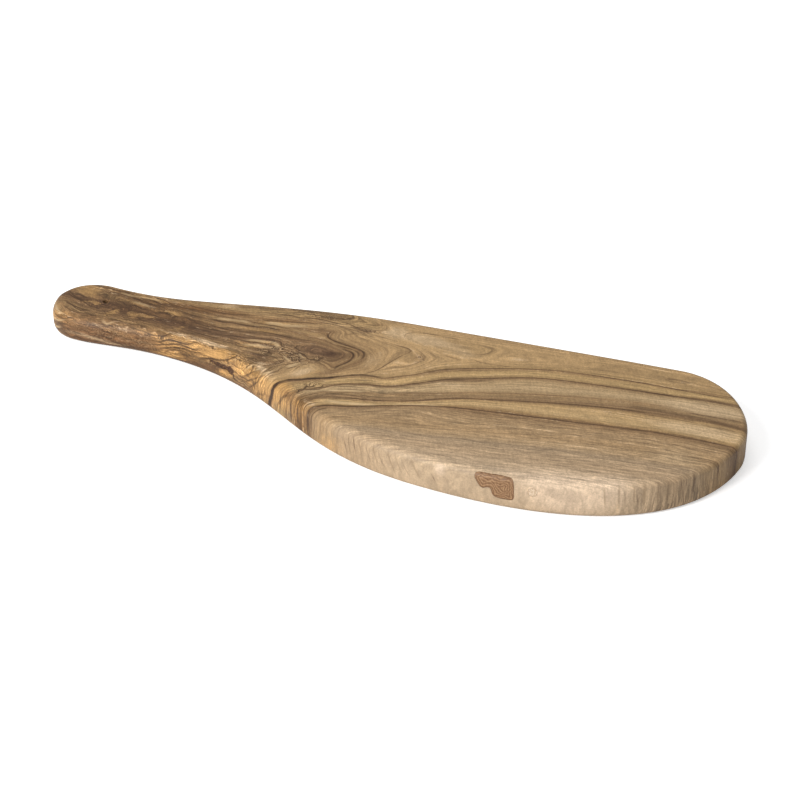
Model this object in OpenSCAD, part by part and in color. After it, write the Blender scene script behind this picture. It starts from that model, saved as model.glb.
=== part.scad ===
// Serving board: a paddle cut from one olive plank, with a rounded blade and a short handle.
// X runs from the handle's end to the blade's nose, Y towards the far edge and Z up.
// The origin is under the middle of the board, on the surface that the board lies on.
// The branch knots and the bark that grew into the plank are pieces of their own.

/* [Board] */
// Overall length, from the handle's end to the blade's nose
board_l = 400; // [340:5:460]
// Overall width, across the blade
blade_w = 146; // [126:2:170]
// Thickness of the blade
blade_t = 18; // [15:0.5:24]

/* [Blade outline] */
// Distance of the nose from the middle line, towards the far edge
nose_offset = 18; // [0:1:36]
// Distance from the nose back to the widest point of the near edge
belly_dist = 138; // [115:1:160]
// Distance from the nose back to the widest point of the far edge
corner_dist = 51; // [40:1:70]
// Distance from the nose back to the shoulder, where the far edge turns towards the handle
shoulder_dist = 217; // [190:1:240]
// Distance of the shoulder inside the widest point of the far edge
shoulder_inset = 24; // [12:1:34]

/* [Handle] */
// Width across the handle's rounded end
handle_w = 46.5; // [40:0.5:54]
// Thickness of the handle
handle_t = 16; // [13:0.5:20]
// Distance of the handle's middle line from the board's, towards the near edge
handle_offset = 10.5; // [0:0.5:18]
// Distance from the handle's end to the widest point of its rounded end
grip_dist = 24; // [18:1:32]
// Distance from the handle's end to its waist
waist_dist = 85; // [65:1:105]
// Depth of the hollow at the waist, in the near edge
waist_depth = 8; // [0:0.5:12]

/* [Neck] */
// Distance from the handle's end to where the blade's full thickness starts
neck_dist = 200; // [180:5:215]
// Length over which the top slopes down towards the handle
neck_l = 110; // [60:5:125]

/* [Rounded edges] */
// Radius of the round along the blade's upper edge
blade_top_r = 4.5; // [2:0.5:6]
// Radius of the round along the blade's lower edge
blade_foot_r = 3; // [1:0.5:5]
// Radius of the round along the handle's upper edge
handle_top_r = 6.5; // [3:0.5:7]
// Radius of the round along the handle's lower edge
handle_foot_r = 5; // [2:0.5:6]

/* [Hanging hole] */
// Diameter of the hanging hole
hole_d = 4; // [3:0.5:8]
// Distance from the handle's end to the hole's centre
hole_dist = 32; // [26:1:50]
// Distance of the hole from the handle's middle line, towards the far edge
hole_offset = 2; // [-4:0.5:4]
// Width of the bevel worn into each mouth of the hole
hole_bevel = 0.5; // [0.2:0.1:1]

/* [Edge knot] */
// Distance from the nose back to the middle of the branch knot in the near edge
knot_dist = 92; // [86:1:110]
// Width of the knot along the edge
knot_w = 21; // [16:0.5:24]
// Height of the knot's outline
knot_h = 11; // [8:0.5:11.5]
// Height of the knot's lowest point above the rest face
knot_foot = 6.2; // [4:0.1:6.8]
// Depth to which the knot reaches into the blade
knot_depth = 9; // [6:0.5:14]
// Angle at which the knot dips as it goes in
knot_dip = 12; // [0:1:20]

/* [Pin knot] */
// Distance from the nose back to the middle of the small knot beside the edge knot
pin_dist = 75; // [60:1:76]
// Width and height of the small knot
pin_w = 4.4; // [3:0.2:6]
// Height of the small knot's lowest point above the rest face
pin_foot = 9.4; // [4:0.2:11]
// Depth to which the small knot reaches into the blade
pin_depth = 6; // [4:0.5:12]

/* [Bark seam] */
// Distance from the handle's end to the middle of the ingrown bark in the neck's near edge
bark_dist = 124; // [110:1:150]
// Width of the bark seam along the edge
bark_w = 14; // [10:0.5:20]
// Height of the bark seam's outline
bark_h = 5.2; // [3:0.2:6]
// Height of the bark seam's lowest point above the rest face
bark_foot = 6.6; // [5:0.1:8]
// Depth to which the bark reaches into the neck
bark_depth = 5; // [3:0.5:10]

/* [Hidden] */

// Overrun of every cut past the face that it starts from
overrun = 4;
// Steps along each edge, round each upper and lower edge, and between two points of a knot's outline
edge_steps = 76;
top_steps = 5;
foot_steps = 4;
knot_steps = 3;
// Halvings that find the place on a curve
halvings = 30;
// Facets of a full circle
round_fn = 64;

// Ends and corners of the plan
tip_x = -board_l / 2;
nose_x = board_l / 2;
near_y = -blade_w / 2;
far_y = blade_w / 2;
grip_near_y = -handle_offset - handle_w / 2;
grip_far_y = -handle_offset + handle_w / 2;
shoulder_y = far_y - shoulder_inset;
neck_x = tip_x + neck_dist;

// The far edge runs straight from the shoulder to the corner
straight_angle = atan2(shoulder_inset, shoulder_dist - corner_dist);

// Anchors of each edge from the handle's end to the nose: x, y and the edge's heading there
near_anchors = [
    [tip_x, -handle_offset, -90],
    [tip_x + grip_dist, grip_near_y, 0],
    [tip_x + waist_dist, grip_near_y + waist_depth, 0],
    [nose_x - belly_dist, near_y, 0],
    [nose_x, nose_offset, 90]
];
far_anchors = [
    [tip_x, -handle_offset, 90],
    [tip_x + grip_dist, grip_far_y, 0],
    [nose_x - shoulder_dist, shoulder_y, straight_angle],
    [nose_x - corner_dist, far_y, 0],
    [nose_x, nose_offset, -90]
];
// Reach of each stretch's curve out of its first anchor and into its second, of their distance
near_shares = [[0.16, 0.50], [0.29, 0.48], [0.44, 0.42], [0.64, 0.27]];
far_shares = [[0.53, 0.28], [0.33, 0.60], [0.08, 0.06], [0.38, 0.28]];

// Outlines of the knots and the bark, of their width along the edge and their height
knot_shares = [
    [-0.52, 1.02], [-0.20, 0.94], [0.15, 1.04], [0.50, 1.03], [0.53, 0.55], [0.53, -0.03],
    [0.28, 0.03], [-0.05, -0.02], [-0.16, 0.16], [-0.09, 0.38], [-0.36, 0.34], [-0.48, 0.62]
];
pin_shares = [
    [-0.40, 0.95], [0.34, 1.08], [0.62, 0.50], [0.30, -0.08], [-0.42, 0.02], [-0.56, 0.52]
];
bark_shares = [
    [-0.62, 0.50], [-0.30, 0.86], [-0.02, 0.80], [0.18, 1.16], [0.56, 0.74], [0.50, 0.34],
    [0.14, 0.30], [-0.10, -0.12], [-0.36, 0.16]
];

// Control points of the curve between two anchors
function stretch(a, b, shares) =
    let (
        from = [a.x, a.y],
        to = [b.x, b.y],
        span = norm(to - from)
    )
    [
        from,
        from + shares[0] * span * [cos(a.z), sin(a.z)],
        to - shares[1] * span * [cos(b.z), sin(b.z)],
        to
    ];
near_curves = [for (i = [0 : len(near_shares) - 1])
    stretch(near_anchors[i], near_anchors[i + 1], near_shares[i])];
far_curves = [for (i = [0 : len(far_shares) - 1])
    stretch(far_anchors[i], far_anchors[i + 1], far_shares[i])];

// Point and heading of a cubic curve at a place from 0 to 1
function curve_point(c, t) =
    let (s = 1 - t)
    s * s * s * c[0] + 3 * s * s * t * c[1] + 3 * s * t * t * c[2] + t * t * t * c[3];
function curve_heading(c, t) =
    let (
        s = 1 - t,
        d = s * s * (c[1] - c[0]) + 2 * s * t * (c[2] - c[1]) + t * t * (c[3] - c[2])
    )
    d / norm(d);

// Place on a curve that lies at x, found by halving
function curve_place(c, x, low = 0, high = 1, left = halvings) =
    let (middle = (low + high) / 2)
    left == 0 ? middle
        : curve_point(c, middle).x < x ? curve_place(c, x, middle, high, left - 1)
        : curve_place(c, x, low, middle, left - 1);

// An edge at x: its point, then its outward direction. The side is -1 near and 1 far.
function edge_at(curves, x, side) =
    let (
        inside = [for (c = curves) if (x <= c[3].x) c],
        c = len(inside) > 0 ? inside[0] : curves[len(curves) - 1],
        t = curve_place(c, x),
        p = curve_point(c, t),
        d = curve_heading(c, t)
    )
    [p.x, p.y, -side * d.y, side * d.x];

// Both edges at stations that crowd towards the ends, then as one loop round the board
function station(i) = -nose_x * cos(180 * i / edge_steps);
near_edge = [for (i = [0 : edge_steps]) edge_at(near_curves, station(i), -1)];
far_edge = [for (i = [edge_steps - 1 : -1 : 1]) edge_at(far_curves, station(i), 1)];
loop = concat(near_edge, far_edge);
loop_n = len(loop);

// A size that eases from the blade's value to the handle's along the neck
function ease(s) = let (k = max(0, min(1, s))) k * k * (3 - 2 * k);
function along_neck(at_blade, at_handle, x) =
    at_blade + (at_handle - at_blade) * ease((neck_x - x) / neck_l);

// One ring of the skin: the loop drawn in by the round's radius at an angle up from the side
function inset(s, in, z) = [s[0] - in * s[2], s[1] - in * s[3], z];
function foot_ring(angle) = [for (s = loop)
    let (r = along_neck(blade_foot_r, handle_foot_r, s.x))
    inset(s, r * (1 - cos(angle)), r * (1 - sin(angle)))];
function top_ring(angle) = [for (s = loop)
    let (
        r = along_neck(blade_top_r, handle_top_r, s.x),
        t = along_neck(blade_t, handle_t, s.x)
    )
    inset(s, r * (1 - cos(angle)), t - r * (1 - sin(angle)))];
rings = concat(
    [for (i = [foot_steps : -1 : 0]) foot_ring(90 * i / foot_steps)],
    [for (i = [0 : top_steps]) top_ring(90 * i / top_steps)]
);
skin_points = [for (ring = rings) each ring];

// Triangles between two rings, and strips across a ring that join the near edge to the far edge
function band(k) = [for (i = [0 : loop_n - 1])
    let (
        a = k * loop_n + i,
        b = k * loop_n + (i + 1) % loop_n
    )
    each [[a, a + loop_n, b], [b, a + loop_n, b + loop_n]]];
function strips(first) = concat(
    [[first, first + 1, first + loop_n - 1]],
    [for (i = [1 : edge_steps - 2])
        let (
            a = first + i,
            b = first + loop_n - i
        )
        each [[a, a + 1, b], [b, a + 1, b - 1]]],
    [[first + edge_steps - 1, first + edge_steps, first + edge_steps + 1]]
);
function flipped(faces) = [for (f = faces) [f[0], f[2], f[1]]];

// Smooth closed curve that a ring of points draws in, for the knots' outlines
function rounded(p) = [for (i = [0 : len(p) - 1])
    let (
        before = (p[(i + len(p) - 1) % len(p)] + p[i]) / 2,
        after = (p[i] + p[(i + 1) % len(p)]) / 2
    )
    for (j = [0 : knot_steps - 1])
        let (
            t = j / knot_steps,
            s = 1 - t
        )
        s * s * before + 2 * s * t * p[i] + t * t * after];

// The whole plank as it is shaped, before its hole and pockets
module blank() {
    polyhedron(
        points = skin_points,
        faces = concat(
            strips(0),
            [for (k = [0 : len(rings) - 2]) each band(k)],
            flipped(strips((len(rings) - 1) * loop_n))
        )
    );
}

// A body that runs inwards from the near edge at x, with its outline in widths and heights
module inward(x, shares, w, h, foot, depth, dip = 0) {
    place = edge_at(near_curves, x, -1);
    outline = [for (p = rounded(shares)) [p.x * w, (p.y - 0.5) * h]];
    translate([place[0], place[1], foot + h / 2])
        rotate([-dip, 0, atan2(place[3], place[2]) + 90])
            translate([0, depth, 0])
                rotate([90, 0, 0])
                    linear_extrude(height = depth + overrun)
                        polygon(outline);
}

module edge_knot_body() {
    inward(nose_x - knot_dist, knot_shares, knot_w, knot_h, knot_foot, knot_depth, knot_dip);
}

module pin_knot_body() {
    inward(nose_x - pin_dist, pin_shares, pin_w, pin_w, pin_foot, pin_depth);
}

module bark_seam_body() {
    inward(tip_x + bark_dist, bark_shares, bark_w, bark_h, bark_foot, bark_depth);
}

// Hanging hole with a bevel at each mouth
module hanging_hole() {
    wide = hole_d + 2 * hole_bevel;
    translate([tip_x + hole_dist, hole_offset - handle_offset, 0]) {
        translate([0, 0, -overrun])
            cylinder(d = hole_d, h = handle_t + 2 * overrun, $fn = round_fn);
        cylinder(d1 = wide, d2 = hole_d, h = hole_bevel, $fn = round_fn);
        translate([0, 0, handle_t - hole_bevel])
            cylinder(d1 = hole_d, d2 = wide, h = hole_bevel, $fn = round_fn);
    }
}

module board() {
    color("#b98f5f")
        difference() {
            blank();
            hanging_hole();
            edge_knot_body();
            pin_knot_body();
            bark_seam_body();
        }
}

module edge_knot() {
    color("#8a5f40")
        intersection() {
            blank();
            edge_knot_body();
        }
}

module pin_knot() {
    color("#c9ab86")
        intersection() {
            blank();
            pin_knot_body();
        }
}

module bark_seam() {
    color("#33231a")
        intersection() {
            blank();
            bark_seam_body();
        }
}

board();
edge_knot();
pin_knot();
bark_seam();
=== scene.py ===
"""Serving board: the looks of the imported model, one olive plank with its knots and ingrown bark.

Sizes are in millimetres until a mesh is made, and metres from there on.
X runs from the handle's end to the blade's nose, Y towards the far edge and Z up.
"""

import math

import bmesh
import bpy
import numpy as np
from mathutils.geometry import delaunay_2d_cdt
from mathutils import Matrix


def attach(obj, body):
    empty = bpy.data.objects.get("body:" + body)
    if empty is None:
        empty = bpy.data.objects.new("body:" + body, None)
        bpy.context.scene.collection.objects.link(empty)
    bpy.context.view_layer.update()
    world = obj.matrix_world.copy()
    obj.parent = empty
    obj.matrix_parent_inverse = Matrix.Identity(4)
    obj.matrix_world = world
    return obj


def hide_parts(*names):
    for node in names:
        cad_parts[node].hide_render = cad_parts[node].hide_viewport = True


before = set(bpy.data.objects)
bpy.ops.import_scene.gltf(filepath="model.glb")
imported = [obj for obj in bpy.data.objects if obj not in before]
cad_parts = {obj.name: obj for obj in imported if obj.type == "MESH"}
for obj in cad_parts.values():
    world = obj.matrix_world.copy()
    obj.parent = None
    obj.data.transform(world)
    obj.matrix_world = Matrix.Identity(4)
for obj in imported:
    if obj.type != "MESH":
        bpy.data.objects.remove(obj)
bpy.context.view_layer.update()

MM = 0.001

# Sizes of the plank, the same as in the CAD source
BOARD_L, BLADE_W, BLADE_T, HANDLE_T = 400.0, 146.0, 18.0, 16.0
TIP_X, NOSE_X, NEAR_Y, FAR_Y = -BOARD_L / 2, BOARD_L / 2, -BLADE_W / 2, BLADE_W / 2
TIP_Y, NOSE_Y = -10.5, 18.0
NECK_X, NECK_L = 0.0, 110.0
BLADE_TOP_R, BLADE_FOOT_R, HANDLE_TOP_R, HANDLE_FOOT_R = 4.5, 3.0, 6.5, 5.0
HOLE_D, HOLE_X, HOLE_Y = 4.0, -168.0, -8.5

# What is finer than in the CAD: the tighter upper edge of the nose, and the hole's mouths rounded by wear
NOSE_SHARPER, NOSE_FROM, NOSE_OVER = 1.6, 135.0, 50.0
HOLE_WORN = 0.4

# Anchors of each edge: x, y and heading in degrees, and how far the curve reaches out and in
NEAR_ANCHORS = [
    (TIP_X, TIP_Y, -90), (-176, -33.75, 0), (-115, -25.75, 0), (62, NEAR_Y, 0), (NOSE_X, NOSE_Y, 90),
]
NEAR_SHARES = [(0.16, 0.50), (0.29, 0.48), (0.44, 0.42), (0.64, 0.27)]
FAR_ANCHORS = [
    (TIP_X, TIP_Y, 90), (-176, 12.75, 0), (-17, 49, 8.23), (149, FAR_Y, 0), (NOSE_X, NOSE_Y, -90),
]
FAR_SHARES = [(0.53, 0.28), (0.33, 0.60), (0.08, 0.06), (0.38, 0.28)]

# Outlines of the knots and the bark, in shares of their width and height
KNOT_SHARES = [
    (-0.54, 0.95), (-0.45, 1.0), (-0.30, 1.0), (-0.12, 1.0), (0.0, 1.01), (0.15, 1.01), (0.30, 1.0),
    (0.45, 0.99), (0.52, 0.84), (0.53, 0.44), (0.54, 0.10), (0.48, -0.01), (0.35, -0.01), (0.15, -0.01),
    (-0.01, 0.05), (-0.06, 0.22), (-0.09, 0.42), (-0.20, 0.42), (-0.31, 0.33), (-0.39, 0.42),
    (-0.47, 0.62), (-0.53, 0.80),
]
PIN_SHARES = [(-0.40, 0.95), (0.34, 1.08), (0.62, 0.50), (0.30, -0.08), (-0.42, 0.02), (-0.56, 0.52)]
BARK_SHARES = [
    (-0.56, 0.66), (-0.42, 0.82), (-0.30, 0.64), (-0.16, 0.88), (0.0, 0.70), (0.12, 0.96), (0.24, 0.72),
    (0.36, 1.06), (0.50, 0.88), (0.57, 0.52), (0.50, 0.22), (0.44, -0.10), (0.30, 0.18), (0.18, 0.38),
    (0.04, 0.26), (-0.12, 0.44), (-0.26, 0.24), (-0.42, 0.46), (-0.56, 0.38),
]

# Steps of the fine skin: along an edge, across the top and the underside, round the edges and the hole
EDGE_STEPS, TOP_ROWS, FOOT_ROWS = 600, 110, 20
TOP_STEPS, FLANK_STEPS, FOOT_STEPS, HOLE_STEPS = 7, 4, 5, 40


# The plank's form

def curve(anchors, shares, steps=1500):
    """Points and headings along an edge from the handle's end to the nose."""
    points, heads = [], []
    t = np.linspace(0, 1, steps)[:, None]
    s = 1 - t
    for (ax, ay, ah), (bx, by, bh), (out, back) in zip(anchors, anchors[1:], shares):
        a = np.array([ax, ay], float)
        b = np.array([bx, by], float)
        span = np.linalg.norm(b - a)
        p = a + out * span * np.array([math.cos(math.radians(ah)), math.sin(math.radians(ah))])
        q = b - back * span * np.array([math.cos(math.radians(bh)), math.sin(math.radians(bh))])
        points.append(s**3 * a + 3 * s * s * t * p + 3 * s * t * t * q + t**3 * b)
        heads.append(s * s * (p - a) + 2 * s * t * (q - p) + t * t * (b - q))
    points = np.vstack(points)
    heads = np.vstack(heads)
    return points, heads / np.linalg.norm(heads, axis=1)[:, None]


def edge(anchors, shares, side, angles):
    """An edge at stations that crowd towards both ends: x, y and its outward direction."""
    points, heads = curve(anchors, shares)
    at = np.arccos(np.clip(-points[:, 0] / NOSE_X, -1, 1))
    order = np.argsort(at, kind="stable")
    y = np.interp(angles, at[order], points[order, 1])
    turn = np.unwrap(np.arctan2(heads[order, 1], heads[order, 0]))
    turn = np.interp(angles, at[order], turn)
    x = -NOSE_X * np.cos(angles)
    return np.stack([x, y, -side * np.sin(turn), side * np.cos(turn)], axis=1)


ANGLES = np.linspace(0, math.pi, EDGE_STEPS + 1)
NEAR_EDGE = edge(NEAR_ANCHORS, NEAR_SHARES, -1, ANGLES)
FAR_EDGE = edge(FAR_ANCHORS, FAR_SHARES, 1, ANGLES)
LOOP = np.vstack([NEAR_EDGE, FAR_EDGE[-2:0:-1]])
LOOP_N = len(LOOP)
NEAR_LENGTHS = np.concatenate([[0], np.cumsum(np.linalg.norm(np.diff(NEAR_EDGE[:, :2], axis=0), axis=1))])


def ease(s):
    """A soft step from 0 to 1."""
    k = np.clip(s, 0, 1)
    return k * k * (3 - 2 * k)


def along_neck(at_blade, at_handle, x):
    return at_blade + (at_handle - at_blade) * ease((NECK_X - x) / NECK_L)


def top_z(x):
    """Height of the upper face."""
    return along_neck(BLADE_T, HANDLE_T, x)


def section(x):
    """Radius of the lower edge, radius of the upper edge, and thickness."""
    top_r = along_neck(BLADE_TOP_R, HANDLE_TOP_R, x) - NOSE_SHARPER * ease((x - NOSE_FROM) / NOSE_OVER)
    return along_neck(BLADE_FOOT_R, HANDLE_FOOT_R, x), top_r, top_z(x)


def ring_points(inset, z):
    return np.column_stack([LOOP[:, 0] - inset * LOOP[:, 2], LOOP[:, 1] - inset * LOOP[:, 3], z])


def skin_rings():
    """Rings of the skin from the underside, up the side, to the upper face."""
    foot_r, top_r, thick = section(LOOP[:, 0])
    rings = []
    for a in np.linspace(math.pi / 2, 0, FOOT_STEPS + 1):
        rings.append(ring_points(foot_r * (1 - math.cos(a)), foot_r * (1 - math.sin(a))))
    for s in np.linspace(0, 1, FLANK_STEPS + 1)[1:-1]:
        rings.append(ring_points(0, foot_r + s * (thick - top_r - foot_r)))
    for a in np.linspace(0, math.pi / 2, TOP_STEPS + 1):
        rings.append(ring_points(top_r * (1 - math.cos(a)), thick - top_r * (1 - math.sin(a))))
    return rings


def walls(rings):
    """Quads that join each ring of points to the next one."""
    n = len(rings[0])
    faces = []
    for first in range(0, (len(rings) - 1) * n, n):
        for i in range(n):
            a = first + i
            b = first + (i + 1) % n
            faces.append([a, b, b + n, a + n])
    return faces


def cap(ring, first, rows, count, z_of):
    """Grid across a ring that joins its near edge to its far edge: new points and quads."""
    n = EDGE_STEPS
    near = ring[: n + 1]
    far = np.vstack([ring[0], ring[: n : -1], ring[n]])
    inner = []
    for j in range(1, rows):
        s = j / rows
        row = near[1:n] * (1 - s) + far[1:n] * s
        row[:, 2] = z_of(row[:, 0])
        inner.append(row)

    def index(i, j):
        if i == 0 or i == n or j == 0:
            return first + i
        if j == rows:
            return first + LOOP_N - i
        return count + (j - 1) * (n - 1) + i - 1

    faces = []
    for i in range(n):
        for j in range(rows):
            quad = [index(i, j), index(i + 1, j), index(i + 1, j + 1), index(i, j + 1)]
            quad = [v for k, v in enumerate(quad) if v != quad[k - 1]]
            if len(quad) > 2:
                faces.append(quad)
    return np.vstack(inner), faces


def plank_mesh():
    """Points and faces of the plank before anything is cut out of it."""
    rings = skin_rings()
    points = np.vstack(rings)
    last = len(points) - LOOP_N
    foot, foot_faces = cap(rings[0], 0, FOOT_ROWS, len(points), lambda x: 0 * x)
    top, top_faces = cap(rings[-1], last, TOP_ROWS, len(points) + len(foot), top_z)
    return np.vstack([points, foot, top]), walls(rings) + [f[::-1] for f in foot_faces] + top_faces


def linked(name, data):
    """An object in the scene that holds a mesh, a lamp or a camera."""
    obj = bpy.data.objects.new(name, data)
    bpy.context.scene.collection.objects.link(obj)
    return obj


def new_object(name, points, faces):
    """A mesh object from points in millimetres."""
    mesh = bpy.data.meshes.new(name)
    mesh.from_pydata((np.asarray(points) * MM).tolist(), [], faces)
    mesh.validate()
    mesh.update()
    return linked(name, mesh)


def closed_body(name, rings):
    """A closed body whose skin runs through rings of equally many points."""
    n = len(rings[0])
    ends = [list(range(n))[::-1], list(range((len(rings) - 1) * n, len(rings) * n))]
    return new_object(name, np.vstack(rings), walls(rings) + ends)


def face_outwards(obj):
    """Turns the faces of a closed body outwards."""
    made = bmesh.new()
    made.from_mesh(obj.data)
    bmesh.ops.recalc_face_normals(made, faces=made.faces)
    made.to_mesh(obj.data)
    made.free()


def points_of(obj):
    """An object's points, in millimetres."""
    co = np.zeros(len(obj.data.vertices) * 3)
    obj.data.vertices.foreach_get("co", co)
    return co.reshape(-1, 3) / MM


def carve(obj, cutter):
    """Takes the cutter's body out of the object."""
    step = obj.modifiers.new("carve", "BOOLEAN")
    step.operation = "DIFFERENCE"
    step.solver = "EXACT"
    step.object = cutter
    bpy.context.view_layer.update()
    depsgraph = bpy.context.evaluated_depsgraph_get()
    mesh = bpy.data.meshes.new_from_object(obj.evaluated_get(depsgraph))
    obj.modifiers.remove(step)
    obj.data = mesh
    bpy.data.objects.remove(cutter)


# The hole and the pockets

CUTTER_PAST = 1.5
POCKET_FRONT = 3.0
# Spacing of the points inside a knot's face, and how near the rim the first ones come, in spacings
NET_STEP, NET_FINE, NET_RIM = 0.45, 0.3, 0.6
# Edges that are sharper than this stay sharp, in degrees
PLANK_SHARP, INCLUSION_SHARP = 40, 50


def hole_cutter():
    """The hanging hole, with mouths rounded by wear."""
    arc = [math.radians(a) for a in (0, 22, 45, 68, 90)]
    foot = [(HOLE_D / 2 + HOLE_WORN * (1 - math.sin(a)), HOLE_WORN * (1 - math.cos(a))) for a in arc]
    top = [(r, HANDLE_T - z) for r, z in foot[::-1]]
    wide = foot[0][0] + 0.2
    profile = [(wide, -CUTTER_PAST)] + foot + top + [(wide, HANDLE_T + CUTTER_PAST)]
    turns = [2 * math.pi * k / HOLE_STEPS for k in range(HOLE_STEPS)]
    rings = [[(HOLE_X + r * math.cos(a), HOLE_Y + r * math.sin(a), z) for a in turns] for r, z in profile]
    return closed_body("hole_cutter", rings)


def rounded(shares, steps=5):
    """Smooth closed outline that a ring of points draws in."""
    p = np.array(shares, float)
    out = []
    for i in range(len(p)):
        before = (p[i - 1] + p[i]) / 2
        after = (p[i] + p[(i + 1) % len(p)]) / 2
        for j in range(steps):
            t = j / steps
            out.append((1 - t) ** 2 * before + 2 * (1 - t) * t * p[i] + t * t * after)
    return np.array(out)


def outline_of(shares, w, h, foot):
    """An inclusion's outline on the flank: distance along the edge from its middle, and height."""
    p = rounded(shares)
    return np.column_stack([p[:, 0] * w, foot + p[:, 1] * h])


def grown(outline, by):
    """The outline moved outwards along its own normals."""
    ahead = np.roll(outline, -1, axis=0) - np.roll(outline, 1, axis=0)
    ahead /= np.linalg.norm(ahead, axis=1)[:, None]
    turn = np.sum(outline[:, 0] * np.roll(outline[:, 1], -1) - np.roll(outline[:, 0], -1) * outline[:, 1])
    out = np.column_stack([ahead[:, 1], -ahead[:, 0]]) * (1 if turn > 0 else -1)
    return outline + by * out


def near_place(x):
    """Point and outward direction of the near edge at x."""
    i = np.interp(x, NEAR_EDGE[:, 0], np.arange(EDGE_STEPS + 1))
    k = int(i)
    return NEAR_EDGE[k] * (1 - i + k) + NEAR_EDGE[k + 1] * (i - k)


def outward_at(x):
    """Outward direction of the near edge at x, as a level vector."""
    return np.append(near_place(x)[2:], 0.0)


def flank_points(x, uz):
    """Points on the near flank, from distances along the edge from x and heights."""
    at = np.interp(x, NEAR_EDGE[:, 0], NEAR_LENGTHS) + uz[:, 0]
    ex, ey, nx, ny = (np.interp(at, NEAR_LENGTHS, NEAR_EDGE[:, k]) for k in range(4))
    z = uz[:, 1]
    foot_r, top_r, thick = section(ex)
    low = np.clip(foot_r - z, 0, foot_r)
    high = np.clip(z - (thick - top_r), 0, top_r)
    inset = foot_r - np.sqrt(foot_r**2 - low**2) + top_r - np.sqrt(top_r**2 - high**2)
    return np.column_stack([ex - inset * nx, ey - inset * ny, z])


def pocket_cutter(name, x, outline, depth):
    """A body that the pocket for an inclusion is cut with."""
    front = flank_points(x, outline)
    outward = outward_at(x)
    obj = closed_body(name, [front + POCKET_FRONT * outward, front - depth * outward])
    face_outwards(obj)
    return obj


def rim_gap(points, outline):
    """Distance of each point from the nearest point of the outline."""
    return np.sqrt(((points[:, None] - outline[None]) ** 2).sum(-1)).min(1)


def face_net(outline, spacing):
    """A net of triangles inside an outline: its points, its faces and which points are the outline's."""
    n = len(outline)
    low, high = outline.min(0), outline.max(0)
    inner = []
    for j, z in enumerate(np.arange(low[1], high[1], spacing)):
        for u in np.arange(low[0] + (j % 2) * spacing / 2, high[0], spacing):
            inner.append((u, z))
    inner = np.array(inner)
    inner = inner[rim_gap(inner, outline) >= spacing * NET_RIM]
    flat = [tuple(map(float, p)) for p in np.vstack([outline, inner])]
    ring = [(i, (i + 1) % n) for i in range(n)]
    verts, _, faces, sources, _, _ = delaunay_2d_cdt(flat, ring, [], 1, 1e-5)
    rim = [next(k for k, s in enumerate(sources) if i in s) for i in range(n)]
    return np.array([tuple(v) for v in verts]), [list(f) for f in faces], rim


def inclusion(name, x, outline, depth, relief, spacing):
    """A knot or bark body: its face follows the flank with its own relief, and it fills the pocket."""
    uz, faces, rim = face_net(outline, spacing)
    gap = rim_gap(uz, outline)
    outward = outward_at(x)
    front = flank_points(x, uz) + relief(uz, gap)[:, None] * outward
    points = np.vstack([front, flank_points(x, outline) - depth * outward])
    n, count = len(outline), len(front)
    for i in range(n):
        j = (i + 1) % n
        faces.append([rim[i], rim[j], count + j, count + i])
    faces.append([count + i for i in range(n)])
    obj = new_object(name, points, faces)
    face_outwards(obj)
    set_value(obj, "rim", np.append(gap, np.zeros(n)))
    set_vector(obj, "face_place", np.column_stack([np.vstack([uz, outline]), np.zeros(len(points))]))
    smooth(obj, INCLUSION_SHARP)
    return obj


def set_value(obj, name, values):
    made = obj.data.attributes.new(name, "FLOAT", "POINT")
    made.data.foreach_set("value", np.asarray(values, np.float32))


def set_vector(obj, name, values):
    made = obj.data.attributes.new(name, "FLOAT_VECTOR", "POINT")
    made.data.foreach_set("vector", np.asarray(values, np.float32).ravel())


def smooth(obj, angle):
    obj.data.shade_smooth()
    obj.data.set_sharp_from_angle(angle=math.radians(angle))


# The grain: growth rings through guide lines, each with its ring's number and then x,y pairs

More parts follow.
